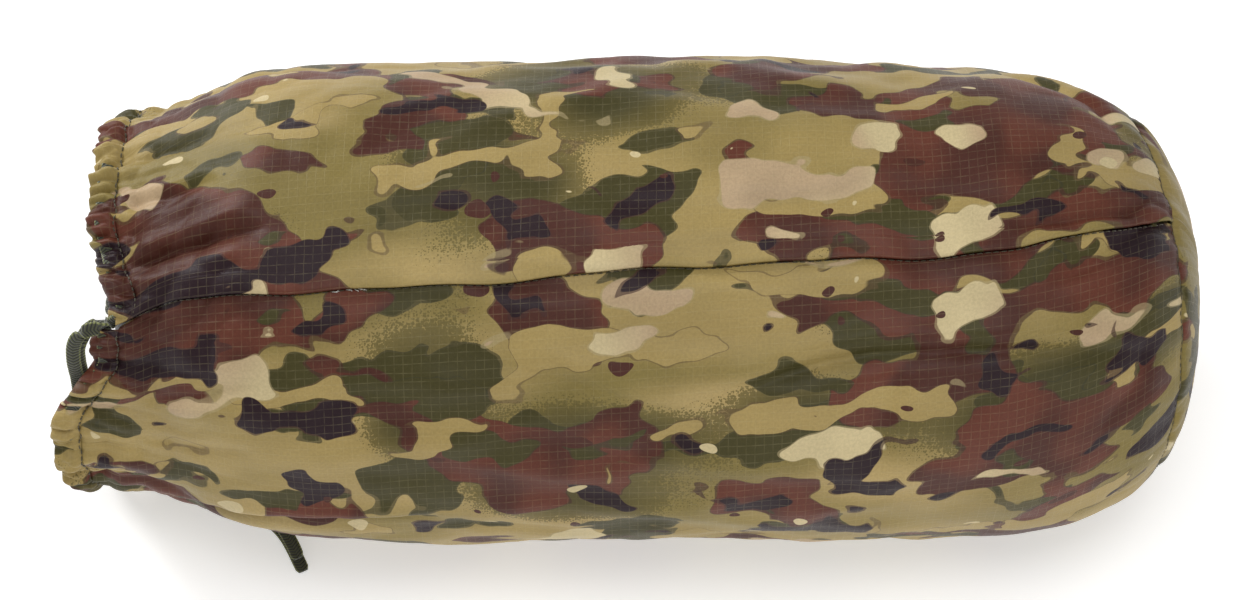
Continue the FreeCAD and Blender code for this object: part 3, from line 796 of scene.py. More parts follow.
# Where each print colour gathers or thins out:
# (X, height, spread along X, spread round the sack, strength)
LEAN = {
    "lean_brown": [
        (-176.033, -63.401, 23.658, 19.715, 0.6), (-183.508, 72.633, 27.601, 17.744, 0.9),
        (-176.033, 105.360, 23.658, 11.829, -1.0), (-183.508, 13.488, 29.573, 16.561, 1.1),
        (-52.698, 39.117, 43.373, 15.772, -0.5), (-56.435, 19.402, 35.487, 15.772, -0.5),
        (7.101, 19.402, 35.487, 17.744, -0.9), (-196.589, -24.760, 23.658, 7.097, 1.1),
        (-190.983, -11.353, 23.658, 5.520, -1.0), (-157.346, -8.199, 23.658, 9.858, -0.7),
        (-164.821, -27.914, 19.715, 8.675, 0.7), (-142.396, 58.832, 19.715, 23.658, 0.5),
        (-108.760, 110.091, 47.316, 17.744, 0.5), (-123.709, 39.117, 47.316, 31.544, 0.55),
        (-22.798, -23.971, 43.373, 27.601, 0.9), (-30.273, 62.775, 39.430, 15.772, 0.7),
        (122.962, 74.604, 63.088, 43.373, 0.75), (164.074, 106.148, 35.487, 23.658, 0.6),
        (115.487, 35.174, 35.487, 23.658, 0.7), (182.761, 23.345, 35.487, 31.544, 0.5),
        (171.549, -16.085, 35.487, 19.715, 0.4), (-22.798, 35.174, 39.430, 13.801, 0.7),
        (-71.385, 125.863, 63.088, 11.829, 0.5), (96.800, 125.863, 59.145, 13.801, 0.5),
        (29.526, 27.288, 31.544, 31.544, -0.8), (-82.597, 66.718, 35.487, 27.601, -0.6),
        (-0.374, 94.319, 47.316, 23.658, -0.6), (-138.659, -0.313, 35.487, 23.658, -0.5),
        (48.213, -12.142, 31.544, 19.715, -0.5)],
    "lean_green": [
        (-82.597, -0.313, 35.487, 27.601, 1.0), (7.101, 15.459, 39.430, 19.715, -0.9),
        (-30.273, 39.117, 31.544, 13.801, -0.6), (-196.589, -10.170, 17.744, 6.309, 0.8),
        (-176.033, 19.402, 23.658, 19.715, -0.7), (-183.508, 72.633, 23.658, 23.658, -0.6),
        (85.587, 78.547, 23.658, 19.715, 0.9), (74.375, 39.117, 35.487, 15.772, 0.6),
        (-67.648, 98.262, 23.658, 15.772, 0.7), (29.526, -39.743, 47.316, 19.715, 0.4),
        (-22.798, 82.490, 23.658, 15.772, 0.4), (51.950, 117.977, 23.658, 11.829, 0.6),
        (156.599, 7.573, 31.544, 19.715, 0.5)],
    "lean_pale": [
        (44.476, 82.490, 31.544, 23.658, 1.0), (115.487, 100.234, 43.373, 13.801, 0.9),
        (29.526, 37.146, 23.658, 12.618, 1.15), (-11.586, 45.032, 14.195, 7.886, 0.5),
        (182.761, 98.262, 23.658, 15.772, 0.5), (-0.374, 123.892, 31.544, 9.858, 0.6),
        (-19.061, 76.576, 15.772, 9.858, 0.4)],
    "lean_dark": [
        (-123.709, 50.946, 21.687, 23.658, 1.0), (7.101, 19.402, 39.430, 19.715, -0.7),
        (-176.033, 45.032, 19.715, 11.829, 0.9), (-183.508, 19.402, 19.715, 11.040, 0.9),
        (-190.983, -16.085, 27.601, 13.801, -0.7), (78.113, -35.800, 51.259, 17.744, 1.0),
        (164.074, 70.661, 35.487, 11.829, 0.8), (164.074, 31.231, 31.544, 11.829, 0.7),
        (-67.648, 78.547, 15.772, 7.886, 0.7), (-116.234, -0.313, 19.715, 11.829, 0.5),
        (10.839, 88.405, 15.772, 9.858, 0.4), (141.649, 5.602, 15.772, 9.858, 0.5),
        (119.224, 110.091, 78.860, 23.658, -0.5)],
}


def leans(x, phi):
    out = {}
    for key, spots in LEAN.items():
        total = np.zeros(np.shape(x))
        for spot_x, height, spread_x, spread_arc, strength in spots:
            arc = wrap(phi - seen_phi(spot_x, height)) * MM_PER_DEG
            total = total + strength * np.exp(-((x - spot_x) / spread_x) ** 2
                                              - (arc / spread_arc) ** 2)
        out[key] = np.clip(total, -1.0, 1.0)
    return out


PANEL_TURN = 0.590                  # metres of print in one turn of the panel
PRINT_SHIFT = PANEL_TURN - 0.030    # metres the print jumps by under the sack
PANEL_BREAK = 204.0                 # degrees above the side seam where the print jumps


def face_uv(faces, x, phi):
    """Per-corner print coordinates, broken only at the side seam and under the sack."""
    x, phi = x.reshape(-1), phi.reshape(-1)
    turned = (phi - seam_phi(x))[faces]
    middle = turned.mean(axis=1)
    turns = np.floor(middle / 360.0)
    turned = turned - 360.0 * turns[:, None]
    middle = middle - 360.0 * turns
    v = turned / 360.0 * PANEL_TURN
    v = np.where((middle > PANEL_BREAK)[:, None], v - PRINT_SHIFT, v)
    return np.stack([x[faces] * MM, v], -1)


# ------------------------------------------------------------------ cloth run
def blur(values, sigma_rows, sigma_columns):
    """Gaussian blur, clamped along X and periodic round the sack."""
    for axis, sigma in ((0, sigma_rows), (1, sigma_columns)):
        reach = int(3 * sigma + 1)
        kernel = np.exp(-0.5 * (np.arange(-reach, reach + 1) / sigma) ** 2)
        kernel /= kernel.sum()
        if axis == 0:
            padded = np.concatenate([np.repeat(values[:1], reach, 0), values,
                                     np.repeat(values[-1:], reach, 0)])
            values = sum(kernel[i] * padded[i:i + values.shape[0]]
                         for i in range(2 * reach + 1))
        else:
            values = sum(kernel[i] * np.roll(values, reach - i, axis=1)
                         for i in range(2 * reach + 1))
    return values


def relax_panel(rows=124, columns=336, frames=13):
    """Outward wrinkles that spare cloth makes when the panel is held at both ends."""
    along = np.linspace(0, 1, rows)[:, None]
    phi = np.linspace(0, 360, columns, endpoint=False)[None, :] + 0 * along
    x = (edge_x(phi) + HEM_DEPTH) * (1 - along) + base_seam_x(phi) * along
    start, normals = bare_sack(x, phi)
    start[..., 2] = rest_on_ground(start[..., 2])
    jitter = np.random.default_rng(5).normal(0, 0.12, start.shape)
    jitter[0] = jitter[-1] = 0
    start = start * MM + jitter * MM
    sheet = mesh_object("cloth_run", start, grid_faces(rows, columns, wrap_columns=True))
    pinned = list(range(columns)) + list(range((rows - 1) * columns, rows * columns))
    sheet.vertex_groups.new(name="pin").add(pinned, 1.0, "REPLACE")

    cloth = sheet.modifiers.new("cloth", "CLOTH")
    settings = cloth.settings
    settings.quality = 6
    settings.mass = 0.15
    settings.tension_stiffness = settings.compression_stiffness = 15
    settings.shear_stiffness = 6
    settings.bending_stiffness = 0.06
    settings.tension_damping = settings.compression_damping = settings.shear_damping = 1
    settings.bending_damping = 0.1
    settings.air_damping = 1
    settings.use_pressure = True
    settings.uniform_pressure_force = 2.0
    settings.vertex_group_mass = "pin"
    settings.shrink_min = -0.026        # negative: the cloth grows
    settings.effector_weights.gravity = 0.0
    cloth.collision_settings.use_collision = False
    scene = bpy.context.scene
    scene.frame_start, scene.frame_end = 1, frames
    cloth.point_cache.frame_start, cloth.point_cache.frame_end = 1, frames
    for number in range(1, frames + 1):
        scene.frame_set(number)
    result = sheet.evaluated_get(bpy.context.evaluated_depsgraph_get())
    moved = np.empty(len(result.data.vertices) * 3, np.float32)
    result.data.vertices.foreach_get("co", moved)
    shift = (moved.reshape(rows, columns, 3) - start) / MM
    height = (shift * normals).sum(-1)
    scene.frame_set(1)
    mesh = sheet.data
    bpy.data.objects.remove(sheet)
    bpy.data.meshes.remove(mesh)

    # keep the wrinkles, drop the broad swelling, and limit their height
    height = blur(height, 1.0, 1.3)
    height = height - blur(height, 9.0, 13.0)
    limit = 2.2
    ends = np.clip(np.minimum(along, 1 - along) * 14.0, 0, 1)
    return limit * np.tanh(0.95 * height / limit) * ends


RELIEF = relax_panel()


# ------------------------------------------------------------------ sack body: one panel in two pieces
def spaced(total, low_step, mid_step, high_step, low_count, high_count):
    """Distances from 0 to total, with fine steps at both ends."""
    start = np.arange(low_count) * low_step
    end = total - np.arange(high_count)[::-1] * high_step
    first, last = start[-1] + low_step, end[0] - high_step
    count = int(round((last - first) / mid_step))
    return np.concatenate([start, np.linspace(first, last, count), end])


PANEL_LENGTH = 405      # nominal, turns mm steps into fractions
ROWS = spaced(1.0, low_step=1.05 / PANEL_LENGTH, mid_step=2.55 / PANEL_LENGTH,
              high_step=1.0 / PANEL_LENGTH, low_count=46, high_count=24)


def body_piece(name, start, end, dense_at_start, count):
    """Panel between two angles above the side seam, denser at its seam edge."""
    t = np.linspace(0, 1, count)
    if dense_at_start:
        t = 0.82 * t + 0.18 * t ** 2.4
    else:
        t = 1 - (0.82 * (1 - t) + 0.18 * (1 - t) ** 2.4)
    above = (start + (end - start) * t)[None, :]
    along = ROWS[:, None]

    def between(phi):
        return (edge_x(phi) + HEM_DEPTH) * (1 - along) + base_seam_x(phi) * along

    near_seam = np.clip(1 - np.abs(wrap(above)) / 40.0, 0, 1)
    x = between(66.0 + above)
    # x and phi depend on each other, so they are settled by repetition
    for _ in range(14):
        phi = seam_phi(x) + seam_wave(x) * near_seam + above
        x = 0.35 * x + 0.65 * between(phi)
    phi = seam_phi(x) + seam_wave(x) * near_seam + above
    faces = grid_faces(len(ROWS), count)
    return thicken(mesh_object(name, sack_surface(x, phi), faces, face_uv(faces, x, phi),
                               attrs=leans(x, phi), material=CAMO))


upper = body_piece("sack_body_upper", 0.02, PANEL_BREAK, dense_at_start=True, count=262)
lower = body_piece("sack_body_lower", PANEL_BREAK, 359.98, dense_at_start=False, count=206)
for piece in (upper, lower):
    place(piece, "sack", ("sack_body_panel",))

# ------------------------------------------------------------------ side seam: the folded edge
LAP_START, LAP_END = -194.5, 207.2
# closed outline: (distance up from the seam, height off the panel)
LAP_OUTLINE = [(8.5, -0.15), (6.0, 0.18), (3.0, 0.34), (0.8, 0.42), (-0.35, 0.22),
               (-0.75, -0.25), (-0.45, -0.7), (0.6, -0.95), (3.0, -1.05), (6.5, -0.95)]


def side_seam_fold():
    outline = catmull(LAP_OUTLINE, 22, closed=True)
    across, height = outline[None, :, 0], outline[None, :, 1]
    along = np.linspace(LAP_START, LAP_END, 336)
    x = np.repeat(along[:, None], len(outline), 1)
    phi = seam_line(x) + across / MM_PER_DEG
    # follow the upper panel, and below its lip keep the lip's relief
    lip_phi = seam_line(x) + np.maximum(across, 0.9) / MM_PER_DEG
    bare, normals = bare_sack(x, phi)
    bare_lip, _ = bare_sack(x, lip_phi)
    ends = np.minimum(along - LAP_START + 1.0, LAP_END + 1.0 - along)
    ends = np.clip(ends / 6.0, 0.15, 1)[:, None, None]
    points = (bare * MM + (sack_surface(x, lip_phi) - bare_lip * MM)
              + normals * (height[..., None] * MM) * ends)
    faces = grid_faces(*points.shape[:2], wrap_columns=True)
    return mesh_object("side_seam_fold", points, faces,
                       grid_uv(x * MM, across / 360.0 / MM_PER_DEG * PANEL_TURN),
                       attrs=leans(x, phi), material=CAMO)


place(side_seam_fold(), "sack", ("side_seam_lap",))

# ------------------------------------------------------------------ mouth hem: gathered drawcord channel
HEM_START, HEM_END = 57.2, 54.2 + 360.0     # phi, open between for the cord
# closed outline: (distance behind the mouth edge, height off the sack)
HEM_OUTLINE = [
    (12.4, -0.95), (11.4, -0.35), (10.6, -0.2), (9.6, 0.2), (8.2, 0.62), (5.6, 0.82),
    (3.2, 0.6), (1.4, 0.06), (0.35, -0.65), (0.0, -1.4), (0.4, -2.2), (1.6, -2.9),
    (4.2, -3.25), (7.0, -3.2), (9.4, -2.5), (10.8, -1.9), (12.4, -1.75)]


def mouth_hem(rows=1150, sides=38):
    outline = catmull(HEM_OUTLINE, sides, closed=True)
    behind, height = outline[None, :, 0], outline[None, :, 1]
    phi = np.linspace(HEM_START, HEM_END, rows)[:, None]
    turn = np.radians(phi)
    mid_x = edge_x(phi) + 5.0
    # phases of three sizes of gather
    small = 47 * turn + 1.9 * warp_a(mid_x, phi)
    broad = 23 * turn + 1.3 * warp_b(mid_x, phi) + 0.7
    tiny = 74 * turn + 3.2 * warp_a(mid_x, phi + 25.0) + 1.5 * warp_b(mid_x, phi)
    # flatter round phi = 10
    calm = 1.0 - 0.62 * np.exp(-(wrap(phi - 10.0) / 34.0) ** 4)
    crumple = np.clip(0.9 + 0.9 * vary_b(mid_x, phi + 60.0), 0.15, 2.0) * calm
    towards_edge = np.clip(1 - behind / HEM_DEPTH, 0, 1)
    sway = (1.3 * calm * ridge(small) + 1.2 * (0.3 + 0.7 * calm) * ridge(broad)
            + 1.0 * crumple * ridge(tiny, 0.8) + 0.5 * vary_b(mid_x, phi)) * towards_edge
    # the section shrinks towards both open ends
    ends = np.clip(np.minimum(phi - HEM_START, HEM_END - phi) / 2.2, 0.0, 1.0)
    ends = np.sqrt(1 - (1 - ends) ** 2) * 0.97 + 0.03
    mid_height, mid_behind = -1.0, 6.2
    raised = mid_height + (height - mid_height) * ends
    x = (edge_x(phi) + mid_behind + (behind - mid_behind) * (0.75 + 0.25 * ends)
         - sway * 0.9)
    # crumples of the doubled cloth
    ripple = ((0.3 + 0.35 * np.abs(vary_a(mid_x, phi)))
              * np.sin(83 * turn + 2.2 * warp_b(mid_x, phi) + behind * 0.55)
              * np.clip(1 - np.abs(behind - 5.5) / 6.0, 0, 1))
    leaning = tiny + ((0.22 + 0.1 * vary_a(mid_x, phi)) * (behind - 6.0)
                      * np.sign(vary_c(mid_x, phi) + 0.05))
    ripple = ripple + (1.15 * crumple * ridge(leaning, 0.6)
                       * np.clip(1 - np.abs(behind - 5.0) / 8.5, 0, 1) ** 0.7)
    all_phi = phi + 0 * behind
    points = sack_surface(
        x, all_phi, extra=raised + ripple * ends + 0.25 * ridge(small) * towards_edge)
    faces = grid_faces(rows, sides, wrap_columns=True)
    # the print runs on round the fold: past this sample the outline is inside
    print_x = edge_x(phi) + np.where(np.arange(sides)[None, :] > 20, -behind, behind)
    piece = mesh_object("mouth_hem", points, faces, face_uv(faces, print_x, all_phi),
                        attrs=leans(x, all_phi), material=CAMO)

    def close_ends(bm):
        bm.verts.ensure_lookup_table()
        rings = [[bm.verts[row * sides + j] for j in range(sides)] for row in (0, rows - 1)]
        rings[0].reverse()
        for ring in rings:
            middle = bm.verts.new(sum((vert.co for vert in ring), Vector()) / sides)
            for j in range(sides):
                bm.faces.new((ring[j], ring[(j + 1) % sides], middle)).smooth = True

    face_outwards(piece, close_ends)
    return piece


place(mouth_hem(), "sack", ("mouth_hem",))


# ------------------------------------------------------------------ round base
BASE_CENTRE_Z, BASE_CENTRE_X = 0.0815, 0.2246   # metres
# print tendencies on the base, the rest are 0
BASE_LEAN = {"lean_brown": -0.1, "lean_dark": -0.2, "lean_pale": 0.3}


def sack_base(columns=420, rim_rows=12, inner_rows=52):
    phi = np.linspace(0, 360, columns, endpoint=False)[None, :]
    turn = np.radians(phi)
    # fraction of the rim's radius, finely spaced at the rim
    size = np.concatenate([np.linspace(1, 0.93, rim_rows),
                           np.linspace(0.92, 0.03, inner_rows)])[:, None]
    rim = sack_surface(base_seam_x(phi), phi)
    dome = np.clip(1 - size * size, 0, 1) ** 0.72
    x = rim[..., 0] + (BASE_CENTRE_X - rim[..., 0]) * dome
    y = rim[..., 1] * size
    z = BASE_CENTRE_Z + (rim[..., 2] - BASE_CENTRE_Z) * size
    # radial puckers at the rim, lumps within, and a step up from the seam
    small = 31 * turn + 1.6 * warp_b(0 * phi, phi + 20.0)
    broad = 14 * turn + 1.2 * warp_a(0 * phi, phi + 90.0)
    inset = (1 - size) * 70.0
    wrinkles = 0.75 * ridge(small) * fade(inset, 8.0) + 0.9 * ridge(broad) * fade(inset, 22.0)
    wrinkles = (wrinkles * np.clip(inset / 2.0, 0.15, 1.0)
                + 0.9 * lumps_broad(y * 1000, z * 1000) * np.clip(inset / 25, 0, 1))
    height = (wrinkles + 0.9 * (1 - fade(inset, 1.6)) - 0.2) * MM
    normal_x = 0.35 + 0.65 * np.sqrt(np.clip(1 - size * size, 0, 1))
    normal_r = np.sqrt(np.clip(1 - normal_x * normal_x, 0, 1))
    x = x + normal_x * height
    y = y - normal_r * height * np.cos(turn)
    z = z + normal_r * height * np.sin(turn)
    verts = np.stack([x, y, z], -1).reshape(-1, 3)
    tip = verts[-columns:].mean(axis=0)
    tip[0] = max(tip[0], BASE_CENTRE_X)
    verts = np.vstack([verts, tip])

    rows = rim_rows + inner_rows
    last = (rows - 1) * columns
    faces = grid_faces(rows, columns, wrap_columns=True).tolist()
    faces += [[last + j, rows * columns, last + (j + 1) % columns] for j in range(columns)]
    # the print lies askew on the base
    y, z = verts[:, 1], verts[:, 2]
    uvs = np.stack([y * 0.9 + z * 0.35 + 1.31, z * 0.9 - y * 0.35 + 0.44], -1)
    attrs = {key: np.full(len(verts), BASE_LEAN.get(key, 0.0)) for key in LEAN}
    piece = mesh_object("sack_base", verts, faces, uvs, attrs=attrs, material=CAMO)
    face_outwards(piece)
    # outward is +X
    mesh = piece.data
    if mesh.polygons[len(mesh.polygons) - 1].normal.x < 0:
        mesh.flip_normals()
    return thicken(piece)


place(sack_base(), "sack", ("sack_base_panel",))


def base_seam_allowance(rows=260, sides=20):
    """A folded band inside the base seam."""
    start, end = 194.5, 202.0       # X for a seam at 204
    outer, inner = 2.6, 3.8         # distances in from the sack
    mid_x, mid_inset = (start + end) / 2, (outer + inner) / 2
    outline = catmull([(start, outer), (mid_x, outer - 0.15), (end, outer),
                       (end + 0.4, mid_inset), (end, inner), (mid_x, inner + 0.1),
                       (start, inner), (start - 0.4, mid_inset)], sides, closed=True)
    along = outline[None, :, 0]
    phi = np.linspace(0, 360, rows, endpoint=False)[:, None]
    turn = np.radians(phi)
    x = along + base_seam_x(phi) - 204.0
    half_width, half_height, y, z = section(x)
    inset = outline[None, :, 1] + 0.5 * np.sin(turn * 38) * (along - start) / (end - start)
    points = np.stack([x, y - (half_width - inset) * np.cos(turn),
                       z + (half_height - inset) * np.sin(turn)], -1) * MM
    return mesh_object("base_seam_allowance", points,
                       grid_faces(rows, sides, wrap_columns=True, wrap_rows=True),
                       grid_uv(x * MM, turn * 0.07),
                       attrs={key: np.zeros(rows * sides) for key in LEAN}, material=CAMO)


place(base_seam_allowance(), "sack", ("base_seam_binding",))


# ------------------------------------------------------------------ thread
def thread_material(name, colour, tint):
    tree = Tree(name)
    uv = tree.uv("weave")
    x, y, _ = tree.separate(uv)
    ply = 0.00018       # metres, half a twist
    x = tree.math("MULTIPLY", x, 1.0)
    twist = tree.math("PINGPONG", tree.plus(x, y, gain=0.0004), ply)
    twist = tree.math("MULTIPLY", twist, 1 / ply)
    fibres = tree.noise(tree.vmath("MULTIPLY", uv, (1.0, 0.001, 1.0)), scale=700.0)
    lit = tree.step(tree.plus(twist, fibres, gain=0.4), low=0.3, high=1.0)
    return tree.surface({
        "Base Color": tree.mix(lit, colour, tint),
        "Roughness": tree.plus(0.55, fibres, gain=0.2), "Sheen Weight": 0.3,
        "Normal": tree.bump(twist, strength=0.5, dist=0.0001)})


THREAD_DARK = thread_material("thread_dark", srgb(40, 34, 24), srgb(88, 80, 48))
# a spare colour, on no piece
thread_material("thread_olive", srgb(70, 66, 34), srgb(128, 120, 66))
THREAD_WHITE = thread_material("thread_white", srgb(214, 210, 198), srgb(238, 236, 228))


def tubes(name, paths, radius, sides, material):
    """One mesh of small closed tubes; each path is (points, normals), all in metres."""
    verts, faces, uvs = [], [], []
    start = 0
    angle = np.linspace(0, 2 * np.pi, sides, endpoint=False)
    for points, normals in paths:
        count = len(points)
        forward = unit(np.gradient(points, axis=0))
        side = unit(np.cross(forward, normals))
        up = np.cross(side, forward)
        radii = np.full(count, radius)
        radii[0] = radii[-1] = radius * 0.45
        rings = (points[:, None, :]
                 + side[:, None, :] * (np.cos(angle)[None, :, None] * radii[:, None, None])
                 + up[:, None, :] * (np.sin(angle)[None, :, None] * radii[:, None, None]))
        verts.append(rings.reshape(-1, 3))
        tips = forward[[0, -1]] * np.array([[-1], [1]]) * radius * 0.25
        verts.append(points[[0, -1]] + tips)
        length = arc_lengths(points)
        uvs += [grid_uv(length[:, None], angle[None, :]), [[0, 0], [length[-1], 0]]]
        faces += [[start + i for i in face] for face in capped_faces(count, sides, flip=True)]
        start += count * sides + 2
    return mesh_object(name, np.vstack(verts), faces, np.vstack(uvs), "weave",
                       material=material)


def stitches(name, x_of, phi_of, pitch, gap, radius, lift, seed):
    """A row of stitches along the line x_of(t), phi_of(t) of the sack; sizes in metres."""
    random = np.random.default_rng(seed)
    t = np.linspace(0, 1, 1500)
    length = arc_lengths(sack_surface(x_of(t), phi_of(t)))
    count = int(length[-1] / pitch)
    arch = np.array([-0.55, 0.35, 0.85, 0.85, 0.35, -0.55]) * radius + lift
    paths = []
    for k in range(count):
        begin = ((k + 0.5) * length[-1] / count - (pitch - gap) / 2
                 + random.normal(0, 0.00008))
        end = begin + (pitch - gap) * random.uniform(0.93, 1.06)
        at = np.interp(np.linspace(begin, end, 6), length, t)
        x, phi = x_of(at), phi_of(at)
        _, normals = bare_sack(x, phi)
        paths.append((sack_surface(x, phi) + normals * arch[:, None], normals))
    return tubes(name, paths, radius, sides=6, material=THREAD_DARK)


def hem_phi(t):
    return HEM_START + 1.5 + (HEM_END - HEM_START - 3.0) * t


def hem_stitch_x(t):
    phi = hem_phi(t)
    turn = np.radians(phi)
    wander = 0.5 * np.sin(31 * turn) * np.sin(3 * turn + 0.5) + 0.35 * np.sin(53 * turn + 1.0)
    return edge_x(phi) + HEM_STITCH + wander


def side_stitch_x(t):
    return -190.0 + 393.0 * t


def side_stitch_phi(t):
    return seam_line(side_stitch_x(t)) - 0.62


def base_stitch_phi(t):
    return 360.0 * t


def base_stitch_x(t):
    return base_seam_x(base_stitch_phi(t)) - 0.5


def seam_fray():
    """A tuft of loose white thread on the side seam."""
    random = np.random.default_rng(31)
    paths = []
    for _ in range(15):
        start_x = -108.5 + 11.5 * random.random() ** 0.8
        start_phi = float(seam_line(start_x)) - 0.2 - 0.9 * random.random()
        angle = random.uniform(-0.9, 3.4)
        length = random.uniform(1.0, 3.2)
        t = np.linspace(0, 1, 9)
        bend = random.normal(0, 0.8)
        x = start_x + length * t * np.cos(angle + bend * t)
        phi = start_phi + length * t * np.sin(angle + bend * t) * 0.45 / MM_PER_DEG
        _, normals = bare_sack(x, phi)
        lift = (0.25 + 1.0 * random.random() * t * (1.6 - t)) * MM
        paths.append((sack_surface(x, phi) + normals * lift[:, None], normals))
    return tubes("seam_fray", paths, radius=0.00011, sides=5, material=THREAD_WHITE)


row = stitches("mouth_hem_stitches", hem_stitch_x, hem_phi, pitch=0.0026, gap=0.0006,
               radius=0.00026, lift=0.0001, seed=3)
place(row, "sack", ("mouth_hem_stitching",))
row = stitches("side_seam_stitches", side_stitch_x, side_stitch_phi, pitch=0.0030, gap=0.0008,
               radius=0.00020, lift=0.00005, seed=4)
place(row, "sack", ("side_seam_stitching",))
place(seam_fray(), "sack")
row = stitches("base_seam_stitches", base_stitch_x, base_stitch_phi, pitch=0.0030, gap=0.0009,
               radius=0.00020, lift=0.00005, seed=5)
place(row, "sack", ("base_seam_stitching",))

# ------------------------------------------------------------------ drawcord: flat braid
PLAIT = 1.3             # length of one plait
PLAIT_SLANT = 1.15      # plaits its herringbone slants by, from middle to edge


def braid_material():
    tree = Tree("drawcord_braid")
    # metres along the cord, and -1..1 across it
    along, across, _ = tree.separate(tree.uv("weave"))
    from_middle = tree.math("ABSOLUTE", across)
    slant = tree.math("MULTIPLY", along, 1 / 0.0013)
    slant = tree.plus(slant, from_middle, gain=PLAIT_SLANT)
    plait = tree.step(tree.math("PINGPONG", slant, 0.5), low=0.02, high=0.42)
    thin = tree.combine(tree.math("MULTIPLY", along, 1.0),
                        tree.math("MULTIPLY", across, 0.0035))
    fibres = tree.noise(thin, scale=2600.0, rough=0.6)
    # painted shade: the olive cord is painted near-black across its middle and olive only at its edges
    edge = tree.step(from_middle, low=0.74, high=0.90)
    body = tree.mix(edge, srgb(20, 23, 14), srgb(126, 130, 72))
    # painted shade in the grooves between plaits, and a slight painted highlight on the plaits
    groove_shade = tree.mult(1.0, body, (0.22, 0.24, 0.2, 1))
    colour = tree.mix(plait, groove_shade, tree.mix(0.16, body, srgb(150, 154, 92)))
    colour = tree.mult(0.8, colour, tree.mix(fibres, grey(0.6), grey(1.3)))
    return tree.surface({
        "Base Color": colour, "Roughness": tree.plus(0.5, fibres, gain=0.25),
        "Sheen Weight": 0.4,
        "Normal": tree.bump(tree.plus(plait, fibres, gain=0.4), strength=0.8, dist=0.0003)})


CORD = braid_material()


def cord_mesh(name, rings, tips, along, across):
    """Closed cord from rings and two end points, in mm."""
    rows, sides = rings.shape[:2]
    uvs = np.vstack([grid_uv(along[:, None] * MM, across[None, :]),
                     [[0, 0], [along[-1] * MM, 0]]])
    piece = mesh_object(name, np.vstack([rings.reshape(-1, 3), tips]) * MM,
                        capped_faces(rows, sides), uvs, "weave", material=CORD)
    face_outwards(piece)
    return piece


def flat_cord(name, points, widths, width=5.6, thick=1.65, step=0.3, melted_tip=True):
    """A flat braid through points; widths are the directions of its width."""
    along, columns = resample(catmull(np.hstack([points, widths]), 4000), step)
    path, side = columns[:, :3], columns[:, 3:]
    forward = unit(np.gradient(path, axis=0))
    side = unit(side - forward * (side * forward).sum(1, keepdims=True))
    up = np.cross(forward, side)
    angle = np.linspace(0, 2 * np.pi, 26, endpoint=False)
    across = signed_power(np.cos(angle), 0.62)
    height = signed_power(np.sin(angle), 0.75)
    phase = along[:, None] / PLAIT + np.abs(across)[None, :] * PLAIT_SLANT
    plait = np.abs(((phase + 0.5) % 1.0) - 0.5) * 2
    relief = 0.14 * (np.clip(plait * 1.25, 0, 1) ** 0.8 - 0.5)
    scale = np.ones(len(along))
    if melted_tip:
        tip_length = 1.6
        tip = along > along[-1] - tip_length
        scale[tip] = 0.72 + 0.28 * np.clip((along[-1] - along[tip]) / tip_length, 0, 1)
        relief[tip] *= 0.2
    half_width = (width / 2) * scale
    half_thick = (thick / 2) * (0.85 + 0.15 * scale)
    rings = (path[:, None, :]
             + side[:, None, :] * (across * (half_width[:, None] + relief * 0.6))[..., None]
             + up[:, None, :] * (height * (half_thick[:, None] + relief))[..., None])
    tips = [path[0] - forward[0] * 0.2, path[-1] + forward[-1] * 0.25]
    return cord_mesh(name, rings, tips, along, across)


MOUTH_Y, MOUTH_Z = SHIFT[0][1], CENTRE[0][1]    # centre of the mouth

# The part both strands share, round the inside of the mouth:
# (X, phi, radius, share of -X in the direction of the width)
MOUTH_RUN = [
    (-211.5, 48.4, 73.0, 0.95), (-211.9, 44.0, 71.4, 1), (-211.8, 40.4, 69.5, 1),
    (-211.6, 37.0, 67.7, 1), (-211.6, 32.0, 66.4, 1), (-212.2, 26, 65.8, 1),
    (-213.6, 14, 65.4, 1), (-214.8, -2, 65.3, 1), (-215.6, -18, 65.3, 1),
    (-216.6, -34, 65.6, 1), (-218.8, -47, 66.9, 1), (-220.8, -56, 70.2, 1)]


def channel_centre(phi):
    """Middle of the hem channel."""
    return sack_surface(edge_x(phi) + 5.6, phi, extra=-1.0, pleating=0.75) / MM


def channel_rows(angles):
    """Rows like those of MOUTH_RUN, inside the hem channel."""
    rows = []
    for angle in angles:
        x, y, z = channel_centre(np.array([angle]))[0]
        y, z = y - MOUTH_Y, z - MOUTH_Z
        rows.append((x, math.degrees(math.atan2(z, -y)), math.hypot(y, z), 0.95))
    return rows


def strand(name, head, lateral, inward, ground):
    """head: own rows at the mouth; lateral, inward: offset of the shared run;
    ground: rows of (X, Y, Z, width direction X, Y, Z)."""
    points, widths = [], []
    for k, (x, phi, radius, share) in enumerate(head + MOUTH_RUN):
        sin, cos = math.sin(math.radians(phi)), math.cos(math.radians(phi))
        side = np.array((0.0, sin, cos)) * (share - 1) + np.array([-1.0, 0, 0]) * share
        side /= np.linalg.norm(side)
        point = np.array((x, MOUTH_Y - radius * cos, MOUTH_Z + radius * sin))
        if k >= len(head):
            point = point + np.array([0, cos, -sin]) * inward + side * lateral
        points.append(point)
        widths.append(side)
    points += [np.array(row[:3]) for row in ground]
    widths += [np.array(row[3:]) for row in ground]
    return flat_cord(name, np.array(points), np.array(widths))


